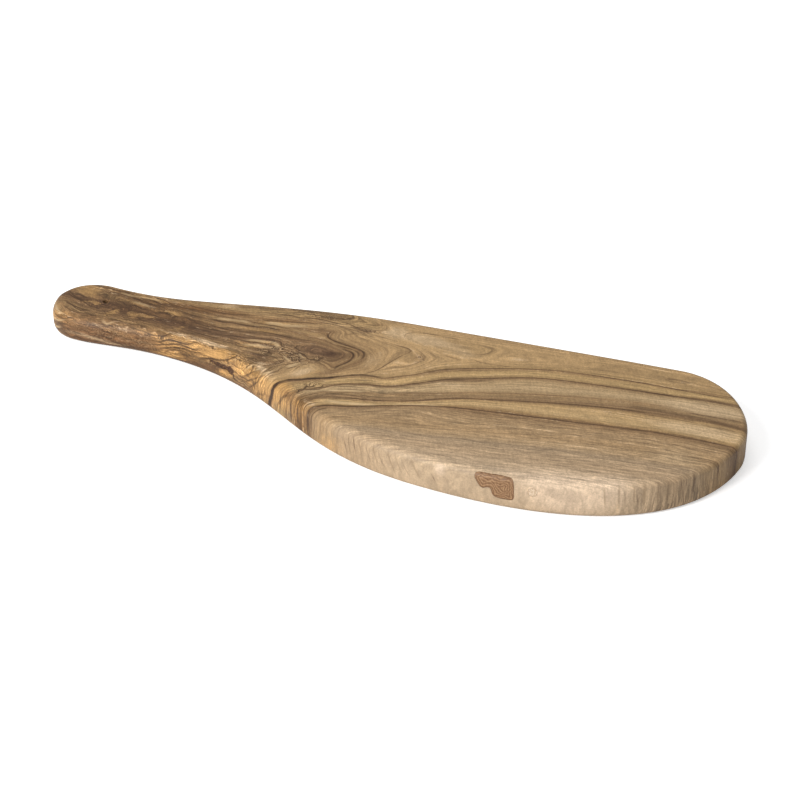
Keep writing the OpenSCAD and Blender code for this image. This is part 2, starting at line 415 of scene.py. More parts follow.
GUIDES = [
    (0, [-9,-71, -7,-65, -5,-60.5, -3,-57, 0,-53.6, 2,-52, 6,-50, 11.5,-47.5, 17,-44.3, 25.5,-39.2, 30,-36.8,
        35,-33.5, 40,-30.7, 45,-28.2, 50,-26, 60,-22.3, 72,-18.5, 100,-11, 130,-3, 150,2.5, 160,4.5, 170,6.2,
        180,8, 200,9.5]),
    (7, [-13.5,-69, -11,-62, -8,-56, -4,-50.5, 0,-47, 10,-43, 20,-40, 30,-34.3, 40,-28.3, 50,-21.8, 60,-15.5,
        66,-12, 100,-0.5, 130,8.5, 150,12.5, 170,16.5, 200,20]),
    (12, [10,-38.5, 20,-35.8, 30,-31.4, 36,-28, 40,-25.5, 45,-21.8, 50,-17.8, 56,-14, 66,-9, 100,5.5, 130,16,
        150,21, 160,23.5, 170,25.5, 180,27.5, 200,28.5]),
    (19, [-20,-68, -17,-62, -13,-54, -10,-47, -5,-42, 0,-38.6, 10,-34, 20,-31, 30,-25.5, 40,-20, 50,-13.5,
        58,-8, 75,0, 100,11, 130,22, 150,27.5, 165,29.5, 175,31, 185,32.8, 200,35]),
    (28, [-24,-66, -21,-59, -17,-51.5, -13.5,-45, -8,-39.3, -4,-35.2, 0,-32, 10,-27, 20,-24.6, 25,-21.5,
        35,-14.5, 45,-8, 55,-3, 62,1, 80,12, 100,20, 130,30, 150,35, 170,39, 195,42]),
    (38, [-32,-68, -27,-59, -22,-51.5, -19.5,-48.5, -17,-45.5, -15.7,-42.9, -10,-39, -7.5,-35.5, -5.5,-32,
        -3,-29.8, 0,-27.5, 5,-25, 10,-22.6, 20,-19.3, 25,-15.5, 30,-10.5, 35,-6, 40,-1, 45,3, 54,8.5, 80,24,
        100,31, 130,38, 150,42, 170,47.3, 190,50.5]),
    (45, [-36,-64, -31,-56, -27,-50, -24,-45, -19,-39, -12,-34, -6,-28, 0,-23, 10,-18.8, 20,-13.5, 25,-9,
        30,-4.5, 35,0.5, 40,5, 45,9, 50,12.5, 55,15.5, 80,29, 100,36, 130,43, 150,46.5, 170,51, 188,54]),
    (54, [-48,-62, -42,-54, -37,-49, -33.5,-44.8, -31,-41.4, -28.6,-38, -24,-34.8, -19,-31.2, -15,-28.5,
        -10,-24.6, -5,-20.4, 0,-17, 4,-15, 9,-13.5, 14,-12.8, 20,-7.3, 25,-2.8, 28,0.3, 32,5.5, 36,10, 42,14,
        48,18, 53,21, 80,34.5, 100,41, 130,47.5, 150,50.5, 170,54.5, 185,57]),
    (62, [-4,-18, 1,-15, 5,-10, 7,-4, 8,2, 9,9, 10,14, 13,19, 12,21, 9,22, 4,22, -3,22, -10,23, -25,26,
        -45,26, -60,21, -80,16, -100,12, -130,9, -170,9]),
    (59, [4,30, 1,35, 6,39, 13,41, 20,43, 30,45, 45,47, 60,49, 80,53, 100,57, 130,63, 150,66, 175,69,
        195,71]),
    (57, [15,34, 30,36, 45,39]),
    (66, [-20,51, 0,53, 20,56, 50,60, 80,65]),
    (72, [100,71, 130,75, 150,78, 180,81]),
    (56, [-20,38, -40,33, -60,29, -80,23, -100,18, -120,15]),
    (72, [-36,21, -37,16, -34,12, -28,10, -22,10, -15,8, -9,5, -6,1, -6,-5, -9,-10, -11,-15, -12,-20]),
    (80, [-44,9, -36,9, -28,7, -20,6, -14,3, -11,-1, -12,-7, -14,-13, -16,-18]),
    (90, [-40,5, -30,4, -20,2, -16,-1, -17,-6, -20,-11]),
    (100, [-34,1, -26,0, -22,-2, -24,-5, -32,-6]),
    (80, [-60,9, -70,8, -80,5, -100,3, -120,1, -150,1, -175,1, -200,0]),
    (90, [-60,2, -80,-1, -100,-4, -130,-5, -160,-5, -200,-6]),
    (100, [-60,-4, -80,-8, -100,-12, -130,-14, -170,-14, -200,-14]),
    (72, [-60,15, -75,11, -100,8, -130,5, -160,5, -200,5]),
    (58, [-27,-25, -26,-31, -24,-22]),
    (62, [-12,-22, -18,-19, -24,-18, -31,-19, -34,-26, -36,-34, -40,-41, -46,-49, -54,-57]),
    (70, [-45,-39, -60,-32, -75,-27.5, -100,-24, -130,-24, -160,-27, -178,-28, -192,-22]),
    (78, [-58,-48, -75,-39, -95,-34, -120,-33, -150,-36, -176,-38, -196,-32]),
    (88, [-64,-57, -80,-48, -98,-43, -122,-42, -150,-45, -178,-48, -206,-38]),
    (-12, [20,-55, 40,-47, 60,-41, 90,-31, 130,-18, 160,-10, 180,-6.5, 205,-3]),
    (-25, [20,-66, 40,-60, 60,-55, 90,-46, 130,-34, 160,-27, 180,-23, 205,-19]),
    (-45, [60,-74, 100,-66, 130,-58, 160,-50, 180,-44, 205,-38]),
]
FIELD_SCALE, FIELD_EASE, FIELD_BATCH, TINY = 100.0, 0.003, 5000, 1e-12


def through(points, step=4.0):
    """Points along a smooth curve through given ones."""
    p = np.array(points, float).reshape(-1, 2)
    q = np.vstack([2 * p[0] - p[1], p, 2 * p[-1] - p[-2]])
    out = []
    for i in range(1, len(q) - 2):
        n = max(1, int(math.ceil(np.linalg.norm(q[i + 1] - q[i]) / step)))
        for k in range(n):
            t = k / n
            a = 2 * q[i]
            b = q[i + 1] - q[i - 1]
            c = 2 * q[i - 1] - 5 * q[i] + 4 * q[i + 1] - q[i + 2]
            d = 3 * q[i] - q[i - 1] - 3 * q[i + 1] + q[i + 2]
            out.append(0.5 * (a + b * t + c * t * t + d * t**3))
    out.append(p[-1])
    return np.array(out)


def bend(r2):
    return r2 * np.log(r2 + TINY)


def fit_rings():
    """The smooth sheet that takes each guide line's number along it."""
    lines = [through(points) for _, points in GUIDES]
    values = np.concatenate([np.full(len(line), number, float) for (number, _), line in zip(GUIDES, lines)])
    p = np.vstack(lines) / FIELD_SCALE
    n = len(p)
    k = bend(((p[:, None] - p[None]) ** 2).sum(-1)) + FIELD_EASE * np.eye(n)
    a = np.hstack([np.ones((n, 1)), p])
    whole = np.vstack([np.hstack([k, a]), np.hstack([a.T, np.zeros((3, 3))])])
    weights = np.linalg.lstsq(whole, np.concatenate([values, np.zeros(3)]), rcond=None)[0]
    return p, weights


def ring_number(sheet, xy):
    """The ring number at each point, and how many rings there are to a millimetre."""
    p, weights = sheet
    x = np.asarray(xy, float) / FIELD_SCALE
    out = np.zeros(len(x))
    slope = np.zeros(len(x))
    for i in range(0, len(x), FIELD_BATCH):
        part = x[i : i + FIELD_BATCH]
        gap = part[:, None] - p[None]
        r2 = (gap**2).sum(-1)
        rise = 2 * (np.log(r2 + TINY) + 1)
        across = (rise * gap[..., 0]) @ weights[:-3] + weights[-2]
        upward = (rise * gap[..., 1]) @ weights[:-3] + weights[-1]
        out[i : i + FIELD_BATCH] = bend(r2) @ weights[:-3] + weights[-3] + part @ weights[-2:]
        slope[i : i + FIELD_BATCH] = np.hypot(across, upward) / FIELD_SCALE
    return out, slope


# The skin laid flat: the side is folded out beyond the flat upper face

UNDER_EASE, SIDE_EASE, LEVEL = 14.0, 2.5, 0.01
# Where the grain stops being folded down the near side: the last x and y, and the lengths it turns over
FOLD_X, FOLD_Y, FOLD_X_OVER, FOLD_Y_OVER = 20.0, 20.0, 24.0, 30.0


def unfolded(p):
    """Places of the skin's points in the plane of the upper face, with the side folded outwards.

    Also how far each point lies on the underside, where the grain of the upper face shows again.
    """
    foot_r, top_r, thick = section(LOOP[:, 0])
    out = np.array(p[:, :2])
    under = np.zeros(len(p))
    low = p[:, 2] < top_z(p[:, 0]) - LEVEL
    in_hole = np.hypot(p[:, 0] - HOLE_X, p[:, 1] - HOLE_Y) < HOLE_D
    for k in np.flatnonzero(low & ~in_hole):
        gap = (LOOP[:, 0] - p[k, 0]) ** 2 + (LOOP[:, 1] - p[k, 1]) ** 2
        i = int(gap.argmin())
        inset = float(np.dot(LOOP[i, :2] - p[k, :2], LOOP[i, 2:]))
        shoulder = thick[i] - top_r[i]
        z = p[k, 2]
        if z > shoulder:
            arc = top_r[i] * math.acos(min(1.0, (z - shoulder) / top_r[i]))
        elif z > foot_r[i]:
            arc = top_r[i] * math.pi / 2 + shoulder - z
        else:
            arc = top_r[i] * math.pi / 2 + shoulder - foot_r[i]
            arc += foot_r[i] * math.asin(min(1.0, (foot_r[i] - z) / foot_r[i])) + max(0.0, inset - foot_r[i])
        slip = p[k, :2] - LOOP[i, :2]
        slip = slip - np.dot(slip, LOOP[i, 2:]) * LOOP[i, 2:]
        folded = LOOP[i, :2] + slip + (arc - top_r[i]) * LOOP[i, 2:]
        if z < foot_r[i]:
            under[k] = ease((inset - foot_r[i]) / UNDER_EASE)
        out[k] = folded * (1 - under[k]) + p[k, :2] * under[k]
    return out, under


def down_side(p):
    """0 on the upper face and 1 below its rounded edge."""
    return ease((top_z(p[:, 0]) - p[:, 2]) / SIDE_EASE)


def side_share(p):
    """1 where the grain is folded round the edge with the side, 0 where it runs straight down."""
    return np.maximum(ease((FOLD_X - p[:, 0]) / FOLD_X_OVER), ease((p[:, 1] - FOLD_Y) / FOLD_Y_OVER))


# Zones of the wood in soft spots: x, y, half length, half width, turn and strength

ZONES = {
    "umber": [
        (-150, -10, 62, 16, 0, 0.5), (-60, 24, 26, 6, 14, 0.4), (-125, 8, 26, 6, 10, 0.6),
        (-165, 5, 28, 4, 2, 0.5), (-14, -62, 12, 16, -20, 0.9), (-150, -40, 60, 13, 0, 0.75),
        (-104, -34, 40, 12, 0, 0.5), (-45, -52, 22, 10, -28, 0.4), (-112, -42, 40, 5, 0, 0.4),
        (-118, -6, 30, 10, 0, 0.3), (20, 15, 7, 7, 0, 0.35), (-45, 33, 16, 3, 20, 0.4),
        (-70, 18, 20, 2, 18, 0.5), (-100, 13, 22, 4, 14, 0.6),
    ],
    # Dark wood of the eye and the neck; the same attribute also carries painted shade on the far side
    "dark_wood_and_far_shade": [
        (-24, -4, 9, 5.5, 0, 0.8), (-13, 1, 4, 7, 0, 0.5), (-15, -23, 8, 3.6, 36, 0.6),
        (-18, 39, 6, 2.6, 10, 0.5), (-19, 29, 8, 2.6, 6, 0.5), (-43, 19.5, 3, 2.4, 0, 0.7),
        (-56, -23, 8, 3.6, -12, 0.95), (-8, 46.5, 8, 1.8, 10, 0.6), (-40, 37, 14, 1.8, 14, 0.5),
        (-52, 2, 16, 3, 4, 0.4), (-34, 8, 10, 2.4, -6, 0.4), (-112, -4, 8, 8, 0, 0.5),
    ],
    "gold": [
        (-100, -27.5, 30, 5.5, 0, 0.9), (-76, -28, 12, 4, 0, 0.9), (-58, -36, 14, 5, -16, 0.9),
        (-46, -45, 10, 5, -24, 1.0), (-75, -38, 8, 3, 0, 0.9), (-30, -52, 14, 6, -26, 0.8),
        (-114, -35, 14, 2, 4, 0.8), (-50, -47, 8, 4, -24, 0.7), (-14, -58, 8, 14, -20, 0.5),
        (-27, -46, 8, 6, -30, 0.8), (-192, -31, 9, 4, -45, 0.8), (-178, -33, 16, 4, -6, 0.7),
        (-150, -31, 16, 2, 0, 0.6), (-72, -14, 12, 3, -4, 0.4), (10, -76, 14, 8, 0, 0.5),
    ],
    "rust": [
        (-160, -38, 40, 12, 0, 0.9), (-42, -50, 10, 3, -28, 0.6), (-22, -50, 8, 4, -20, 0.7),
        (-130, -29, 12, 3, 0, 0.6), (-15, -67, 8, 4, -20, 0.4), (-62, -46, 12, 3, -20, 0.7),
        (-68, -33, 5, 4, 0, 0.6), (-84, -36, 12, 2.6, 0, 0.7),
    ],
    "tan": [
        (-185, -2.5, 11, 6, -28, 1.0), (-145, -15, 4.6, 3.4, -30, 0.95), (-126, -2, 6, 2.8, 0, 0.95),
        (-72, 3.4, 14, 1.8, 10, 0.7), (-139, -12.6, 7, 1.8, 4, 0.9), (-153, -2.6, 8, 1.6, -8, 0.85),
        (-113, -15, 3, 5, -30, 0.6), (-157, -18, 3, 6, -20, 1.0), (-26.5, -28.5, 11, 5.2, 62, 1.0),
        (-71, 13, 12, 2.6, 14, 0.9), (-62, -7.6, 14, 2.2, 6, 0.8), (-67, -14.6, 10, 2.4, 12, 0.9),
        (-161, -4, 3, 1.6, 0, 0.8), (-150, 6, 16, 1.6, 2, 0.8), (-178, -14, 3, 1.6, 30, 0.8),
        (-171.5, -12.8, 4.6, 2.2, -20, 0.95),
    ],
    "pale": [
        (178, 17, 28, 6, 8, 1.0), (174, 38, 28, 6.5, 8, 1.0), (176, -12, 16, 9, 8, 0.6),
        (22, 35, 26, 6, 4, 0.5), (0, 2, 6, 14, 0, 0.4), (60, -74, 60, 8, 0, 0.25),
        (-27, -27.5, 9, 4.4, 62, 0.9), (-61, -12, 8, 2.6, 6, 0.5), (48, -2, 14, 3, 20, 0.5),
        (-104, 20, 7, 2.4, 24, 0.6), (-155, -39.4, 34, 1.5, 3, 0.7),
    ],
    "beige": [
        (15, 35, 17, 6, 5, 1.0), (-5, 35, 7, 9, 0, 0.8), (38, 31, 12, 5, 4, 0.6),
    ],
    # Pale cream sapwood of the near flank right of the small knot; the last, small spot is a painted
    # highlight
    "cream_and_highlight": [
        (138, -64, 22, 13, 12, 1.0), (158, -54, 15, 11, 40, 0.7), (112, -63.5, 16, 1.6, 6, 0.4),
        (79, -74.5, 3.4, 3.4, 0, 0.9),
    ],
    # Pale spots along the near ridge and the handle's end: partly real wear, partly painted sheen of light on
    # the rounded edge
    "worn": [
        (-88, -22, 11, 2.0, -4, 0.95), (-108, -20.6, 9, 1.4, 2, 0.6), (-47, -34.0, 11, 3, -28, 0.7),
        (-8, -53, 8, 2.0, -28, 0.5), (20, -66, 16, 2.6, -14, 0.45), (-188, -28, 7, 1.6, -34, 0.5),
        (-201, -30, 4, 7, 30, 0.4),
    ],
    "figure": [
        (-110, -27, 50, 9, 0, 1.0), (-62, -36, 26, 16, -14, 1.0), (-45, -12, 22, 14, 0, 0.9),
        (-55, 34, 22, 8, 12, 0.8), (-165, -12, 34, 20, 0, 0.8), (-20, 28, 12, 7, 0, 0.6),
        (-110, -6, 40, 12, 0, 0.5), (-15, -52, 12, 14, 0, 0.5), (-165, -38, 36, 10, 0, 0.7),
    ],
    "calm": [
        (-26.5, -29, 10, 6, 62, 1.0), (-185, -2.5, 9, 5, -28, 0.8), (0, 2, 6, 14, 0, 0.7),
        (-80, -28, 8, 3, 0, 0.8), (14, 35, 18, 7, 5, 1.0), (-5, 35, 6, 8, 0, 0.8),
    ],
    "curly": [
        (-44, -13, 13, 4.6, -24, 1.0), (-54, -9, 7, 5, -10, 0.8), (-27, -11, 4.5, 4, 0, 0.7),
        (-36, -18, 6, 5, -30, 0.9), (-16, -38, 4, 9, -30, 0.9), (-66, -28.5, 6, 2.6, -14, 0.9),
        (20.5, 15, 3, 4, 0, 0.9), (-17, 30, 5, 2.6, 10, 0.9), (-47, 34, 14, 3, 14, 0.7),
        (-57, -17, 7, 4, 0, 0.8), (-106, 15, 5, 3, 20, 0.5), (-84, -24.5, 5, 1.6, 0, 0.9),
        (-80, -33, 12, 2.6, 0, 0.6), (-145, -33, 40, 5, 4, 0.35), (-44, -24, 6, 4, 50, 0.5),
    ],
    "burl": [
        (-160, -9, 30, 12, 0, 0.55), (-128, -7, 20, 10, 0, 0.3), (-50, -12, 16, 8, -14, 0.5),
    ],
    "busy": [
        (-150, -6, 60, 22, 0, 1.0), (-105, -26, 60, 16, 0, 1.0), (-55, -42, 28, 18, -25, 1.0),
        (-45, -12, 24, 14, 0, 1.0), (-60, 30, 40, 12, 14, 0.9), (-20, 28, 14, 8, 0, 0.6),
        (-170, -36, 44, 14, 0, 1.0), (199, -33, 32, 11, 57, 1.0), (-14, -58, 14, 16, -20, 0.8),
        (16, -28, 30, 11, 32, 0.9),
    ],
}


def spots(xy, table):
    """How strongly soft spots cover each point, from 0 to 1."""
    left = np.ones(len(xy))
    for x, y, a, b, turn, strength in table:
        c = math.cos(math.radians(turn))
        s = math.sin(math.radians(turn))
        u = (xy[:, 0] - x) * c + (xy[:, 1] - y) * s
        v = -(xy[:, 0] - x) * s + (xy[:, 1] - y) * c
        left *= 1 - strength * np.exp(-((u / a) ** 2 + (v / b) ** 2))
    return 1 - left


# Single grain lines: tone from 0 dark to 1 pale, strength, half widths at both ends, and x,y pairs

STROKES = [
    # Rings on the blade's upper face
    (0, 1.0, 0.8, 1.6, [14.6,-12.5, 9,-13.5, 3,-15, -5,-20.4, -12,-26.8, -19,-31.4, -23.6,-35, -28.6,-38,
        -31,-41.4, -33.6,-44.6, -37,-49, -41.8,-53.6, -48,-59]),
    (0, 0.6, 0.5, 0.5, [2,-16, 4.6,-11, 6.8,-7, 8.2,0.7, 9.1,6.4, 10.4,12.9, 12.5,19.3, 10.4,21.4, 5,21.8,
        0,22]),
    (0, 0.65, 0.6, 0.6, [-19.5,-49.5, -17,-46, -15.7,-42.9, -10,-39.6, -8.2,-36.8, -6,-33, -3.6,-30.7,
        0,-27.5, 5,-25, 10,-22.6, 20,-19.3, 25,-15.5, 30,-10.5, 35,-6, 40,-1, 45,3, 54,8.5, 80,24, 100,31,
        130,38, 150,42, 156,43]),
    (0, 0.5, 0.8, 1.4, [134,38.6, 150,42, 160,44.4, 170,46.4, 180,48, 192,48.6]),
    (0, 0.4, 1.6, 2.0, [134,21.5, 150,24.8, 160,26.6, 170,27.7, 180,28.4, 200,28.6]),
    (0, 0.4, 0.4, 0.5, [144,17.5, 160,21, 172,22.6, 184,23.8, 198,24.4]),
    (0, 0.65, 0.4, 0.6, [12.5,-14, 16,-11.5, 20,-7.3, 25,-2.8, 28,0.3, 32,5.5, 36,10, 42,14, 48,18, 53,21,
        80,34.5, 100,41, 130,47, 148,49.5, 160,51, 170,52.5, 182,54.5]),
    (0, 0.35, 1.4, 2.4, [27,2, 30,4.5, 34,6.5, 39,11.5, 46,15, 53,18]),
    (0, 0.3, 1.6, 1.6, [36,-2, 42,2.6, 48,5.4, 56,9]),
    (0, 0.7, 0.4, 0.9, [200,9.5, 180,8, 170,6.2, 160,4.8, 150,2.5, 130,-3, 100,-11, 72,-18.5, 60,-22.2,
        50,-26, 45,-28.2, 40,-30.7, 35,-33.5, 30,-36.8, 25.7,-39, 17,-44.3, 11.4,-47.5, 5.7,-50, 2,-51.8,
        0,-53.6, -3.2,-57, -5,-60.7, -6.8,-65, -9,-71]),
    (0, 0.6, 0.6, 0.8, [12,-38.4, 20,-35.8, 30,-31.4, 36,-28, 40,-25.5, 45,-21.8, 50,-17.8, 56,-14, 66,-9,
        100,5.5, 130,16, 150,21]),
    (0, 0.4, 0.4, 0.5, [28,-28.5, 35,-25, 40,-22, 45,-19.4]),
    (0, 0.4, 0.4, 0.5, [25,-24.6, 33,-19.6, 38,-17, 45,-13.5, 52,-9.5, 60,-5.5]),
    (0, 0.5, 0.5, 0.8, [42,-1, 48,2.8, 55,6.2, 64,12]),
    (0, 0.6, 0.6, 0.4, [5,-40.3, 9,-39.4, 14,-38, 21,-37.6]),
    (0, 0.5, 0.4, 0.5, [-6,-35.5, -3,-33, 0,-30.8, 6,-28.2, 12,-26]),
    (0, 0.5, 0.4, 0.5, [-8,-44.5, -4,-41.5, 3,-38.3, 10,-36, 20,-33.2]),
    (0, 0.5, 0.4, 0.4, [-6,-26, 0,-22.5, 8,-19.2, 16,-16]),
    (1, 0.75, 0.6, 0.7, [-7,-40, -3,-37.2, 0,-35.5, 5,-33, 10,-31, 15,-28.3]),
    (1, 0.6, 1.0, 0.7, [-3,-48.5, 2,-47, 8,-45.3, 15,-43, 21,-40.3, 26,-37.4]),
    (1, 0.5, 0.5, 0.5, [30,-35, 38,-30.6, 46,-26.8, 56,-22.8]),
    (0, 0.4, 0.4, 0.4, [64,-23.5, 72,-21.5, 82,-20]),
    (0, 0.4, 0.4, 0.5, [40,27, 46,27.4, 54,27.2, 70,31]),
    (0, 0.35, 1.0, 0.8, [28,24.2, 35,24.2, 43,23.4]),
    # The near flank left of the pale wood
    (0, 0.6, 0.3, 0.6, [8,-51, 4,-53.5, 1.5,-57, -2,-62, -4.5,-67, -6,-71]),
    (0, 0.55, 0.5, 0.9, [-26,-47, -29,-52, -34,-60]),
    (0, 0.9, 0.6, 0.6, [-21,-50, -18.6,-49.6, -17.4,-46.5, -18.2,-44.5, -16.4,-42.8, -16.8,-40, -14,-38.4,
        -13.6,-35, -15.6,-32.6]),
    (0, 0.8, 0.5, 0.5, [-14.4,-41.5, -11,-38, -9.4,-36.4, -9.8,-34, -6.8,-31.5]),
    (0, 0.85, 0.6, 0.9, [-17,-50, -21,-58, -25,-67]),
    (0, 0.7, 0.6, 1.4, [-11,-52, -15,-61, -18.5,-70]),
    (0, 0.8, 0.8, 1.1, [-36,-56, -30,-53, -25,-50.5, -19,-50]),
    # Arcs round the eye of the neck
    (0, 0.85, 0.8, 0.7, [-6.5,-3, -6.5,1, -8,5, -11,7.5, -16,8.5, -24,9.5, -31,10.8, -35,13, -37,16.5,
        -36,19.5]),
    (0, 0.8, 0.6, 0.6, [-9,-2, -9.5,2, -12,5, -16,6.3, -22,6.8, -30,7]),
    (0, 0.9, 0.8, 0.7, [-13,-19, -13.7,-14.3, -12.5,-10.7, -11,-6, -11.5,-1, -13,2, -16,3.7, -24,4.4]),
    (0, 0.55, 2.0, 1.6, [-28,-4, -22,-1.5, -17,1]),
    # Curls and ripples of the neck, and lines along its far side
    (0, 0.9, 0.6, 0.5, [-27,-5.4, -25.4,-8.6, -26,-12, -31.4,-13.2, -35,-11.4, -40,-9.3, -45,-8.5]),
    (0, 0.7, 0.5, 0.5, [-41,-12, -37,-14.5, -34,-17, -31,-20]),
    (0, 0.75, 0.5, 0.5, [-60,-13, -58.6,-12.9, -55.7,-14.6, -53.6,-17.1, -49.3,-16.8, -45,-18]),
    (0, 0.75, 0.5, 0.6, [-64,-20.6, -58,-21.3, -55,-20.4, -50,-19.8, -46,-21, -43,-23]),
    (0, 0.55, 0.5, 0.5, [-75,-12.5, -70,-11.3, -64,-9.5, -58,-9, -54,-10, -52,-12]),
    (0, 0.55, 0.5, 0.5, [-76,-18, -67.5,-16.9, -62.5,-15.4, -60,-16.5, -57,-18]),
    (1, 0.5, 0.9, 0.7, [-74.4,-16.2, -70,-14.4, -66,-13.1, -62.5,-11.9, -57,-11.5]),
    (1, 0.45, 0.9, 0.9, [-76,-10.6, -70,-8.4, -62.5,-6.8, -57.5,-6, -54,-8.5, -51,-11.6]),
    (0, 0.85, 0.5, 0.5, [-43.6,-10, -38.6,-11.6, -35,-14, -31.4,-13.4, -28.6,-14]),
    (0, 0.85, 0.5, 0.5, [-43,-15, -39.5,-17, -38,-19.4, -35.8,-16.6, -33.6,-18.6, -31.4,-19.6]),
    (0, 0.75, 0.5, 0.5, [-47,-11.4, -45,-12.6, -42,-14]),
    (0, 0.7, 0.5, 0.5, [-50,-3, -46,-4.5, -42,-7, -38.5,-8, -35,-8.6]),
    (0, 0.75, 0.5, 0.5, [-41.4,-26.6, -38,-22.6, -35,-20]),
    (0, 0.75, 0.5, 0.5, [-37,-29, -34.2,-25.2, -31.6,-21.6]),
    (0, 0.7, 0.6, 0.8, [-130,10.3, -122.5,10, -111,10.6, -104,10.9, -98.8,11.9, -95,13, -90,15, -84,17.6]),
    (0, 0.7, 0.5, 0.5, [-180,-6.2, -177.5,-5, -175,-3.1, -172.5,-1.2, -169,-0.4]),
    (0, 0.7, 0.5, 0.5, [-191,-6.6, -186.2,-9, -181.2,-10, -177,-9.4]),
    (0, 0.7, 0.5, 0.5, [-30,24.6, -25,27.4, -20,27.8, -16,30, -13,29.6]),
    (0, 0.7, 0.5, 0.5, [-40,31, -33,31.4, -27,30, -22,31.6, -17,33]),
    (0, 0.6, 0.5, 0.5, [-26,35.6, -20,36.2, -16,38.6, -13,38]),
    (0, 0.6, 0.5, 0.5, [-60,31, -52,33.4, -46,33, -40,35.4, -32,36.4]),
    (0, 0.6, 0.5, 0.5, [-56,28, -48,29.6, -42,29.2, -34,29.4]),
    (1, 0.55, 0.5, 0.5, [-31,-18, -34,-20.5, -36.5,-24.5, -39.5,-28]),
    (1, 0.5, 0.5, 0.5, [-46,-16, -42,-18.5, -38,-20.2]),
    (1, 0.45, 0.5, 0.5, [-40,-9.6, -37,-12.4, -35,-13.5, -31,-14.6]),
    (1, 0.5, 0.6, 0.5, [-37,-27.5, -35,-24.5, -33,-21]),
    (0, 0.6, 0.6, 0.5, [-86,10.5, -81,12, -74,15, -64,18.4, -58,20.5, -52,23, -48,25.5, -40,27, -30,26.3,
        -22,26, -17,25]),
    (1, 0.5, 1.3, 1.0, [-77,11, -70,13.5, -62,14.7, -56,17, -50,20]),
    (0, 0.5, 0.4, 0.4, [-28.6,18.6, -25,22, -21.4,23.6]),
    (0, 0.4, 1.5, 1.8, [-33,29.5, -24,29, -14,28.5]),
    (0, 0.55, 0.4, 0.6, [4,29.6, 1.6,32.6, 0.7,36, 4.3,39.3, 10,41.4, 20,43.2, 31,44.2]),
    # Long lines from the neck into the handle
    (0, 0.85, 0.9, 0.8, [-107,1.3, -102.5,1.9, -96,2.2, -92.5,3.4, -86,4.4, -81,5, -76,6, -72.5,7.5,
        -67.5,8.1, -60,8.2]),
    (1, 0.45, 0.8, 0.8, [-104,4, -95,6, -88,8, -80,9]),
    (0, 0.75, 0.6, 0.6, [-99,-11.9, -94.4,-11.9, -90,-11.3, -85,-10, -80,-8.4, -76,-8, -71,-6.6, -67.5,-5,
        -63.8,-4.1, -60,-3.8, -55.7,-3.2, -53.8,-5, -52.4,-6.9, -50,-7.8, -46,-7.9]),
    (0, 0.45, 1.2, 1.2, [-121,-1, -123,-5.6, -122,-10.6, -121,-15]),
    (0, 0.45, 1.0, 1.0, [-118,-1, -117.5,-5, -115,-8.8, -112.5,-14]),
    # The golden flank of the neck
    (0, 0.8, 0.5, 0.6, [-134,-25, -130,-25.3, -126,-25.9, -121,-25.3, -117.5,-24.4, -114.7,-22.2,
        -111,-21.6]),
    (0, 0.8, 0.6, 0.6, [-123.8,-29.4, -118.8,-28, -114.4,-25.9, -109.4,-25.6, -103,-25.8, -98.8,-24.7,
        -96,-22.2]),
    (0, 0.75, 0.6, 0.5, [-126,-32.2, -119.4,-29.9, -113.8,-28.4, -107.5,-26.8, -102,-27.2, -96.2,-27.8,
        -90,-27.2]),
    (0, 0.8, 0.7, 0.5, [-122.5,-32.8, -116.2,-31.2, -111.2,-29.7, -105,-28.5, -100,-28.8, -95,-29,
        -88.8,-28.4]),
    (0, 0.75, 0.6, 0.5, [-118,-35.4, -113.8,-31.9, -108.8,-30.5, -103,-30.3, -98.8,-30.9]),
    (0, 0.85, 1.0, 1.6, [-109,-31.4, -103,-32.2, -96,-32.6]),
    (0, 0.9, 0.6, 0.7, [-95,-33, -90,-31.9, -85,-30.9, -80,-31.2, -75,-30.9, -71.9,-30.3, -69.6,-29,
        -66.9,-27.4, -64,-27]),
    (0, 0.85, 0.7, 1.0, [-87,-34.2, -80,-35.2, -73.8,-35.5, -68,-35]),
    (0, 0.85, 0.8, 0.6, [-70,-34.4, -70.6,-36.9, -69,-38.8, -69.4,-40.8, -66,-43]),
    (0, 0.8, 0.5, 0.5, [-89,-22, -87.5,-24.4, -85.6,-23.6, -84.4,-25.6, -82,-25]),
    (0, 0.7, 0.5, 0.5, [-64,-40, -61,-39.2, -56,-38, -51,-36, -47,-35]),
    (0, 0.7, 0.5, 0.5, [-63,-42.6, -55,-41, -49.4,-40, -43.8,-38.6]),
    (0, 0.8, 0.6, 0.5, [-60,-46.4, -58,-45.6, -53.8,-43.8, -48.8,-42.2, -43.8,-39.7]),
    (0, 0.6, 0.8, 1.0, [-54,-48.6, -49,-48.8, -44,-50]),
    (0, 0.7, 0.4, 0.4, [-60,-36, -57,-33, -55.4,-30]),
    (0, 0.7, 0.4, 0.4, [-56,-37, -53.4,-34, -51.6,-31.4]),
    (1, 0.6, 0.5, 0.5, [-58,-35.6, -55,-32.6, -53.4,-30.4]),
    (1, 0.6, 0.5, 0.5, [-51.6,-36.4, -49,-34, -47.4,-32]),
    (1, 0.5, 0.6, 0.5, [-46,-38.6, -43,-36, -41.4,-34.4]),
    # The handle's upper face
    (0, 0.5, 0.5, 0.7, [-160,2, -150,2.2, -142.5,1, -137.5,3.8, -133.8,7, -129,9.5]),
    (1, 0.4, 0.7, 0.6, [-169,4.4, -160,4, -155,5, -145,6.6, -138,4.8]),
    (1, 0.35, 0.8, 0.8, [-157,-1.5, -148,-1.5, -139,-2.5]),
    (0, 0.8, 0.5, 0.6, [-130,2.6, -122,1.6, -114,0.8, -108,1.2]),
    (0, 0.8, 0.5, 0.6, [-104,-3.6, -96,-4.4, -88,-4.2, -80,-2.6, -72,-0.6]),
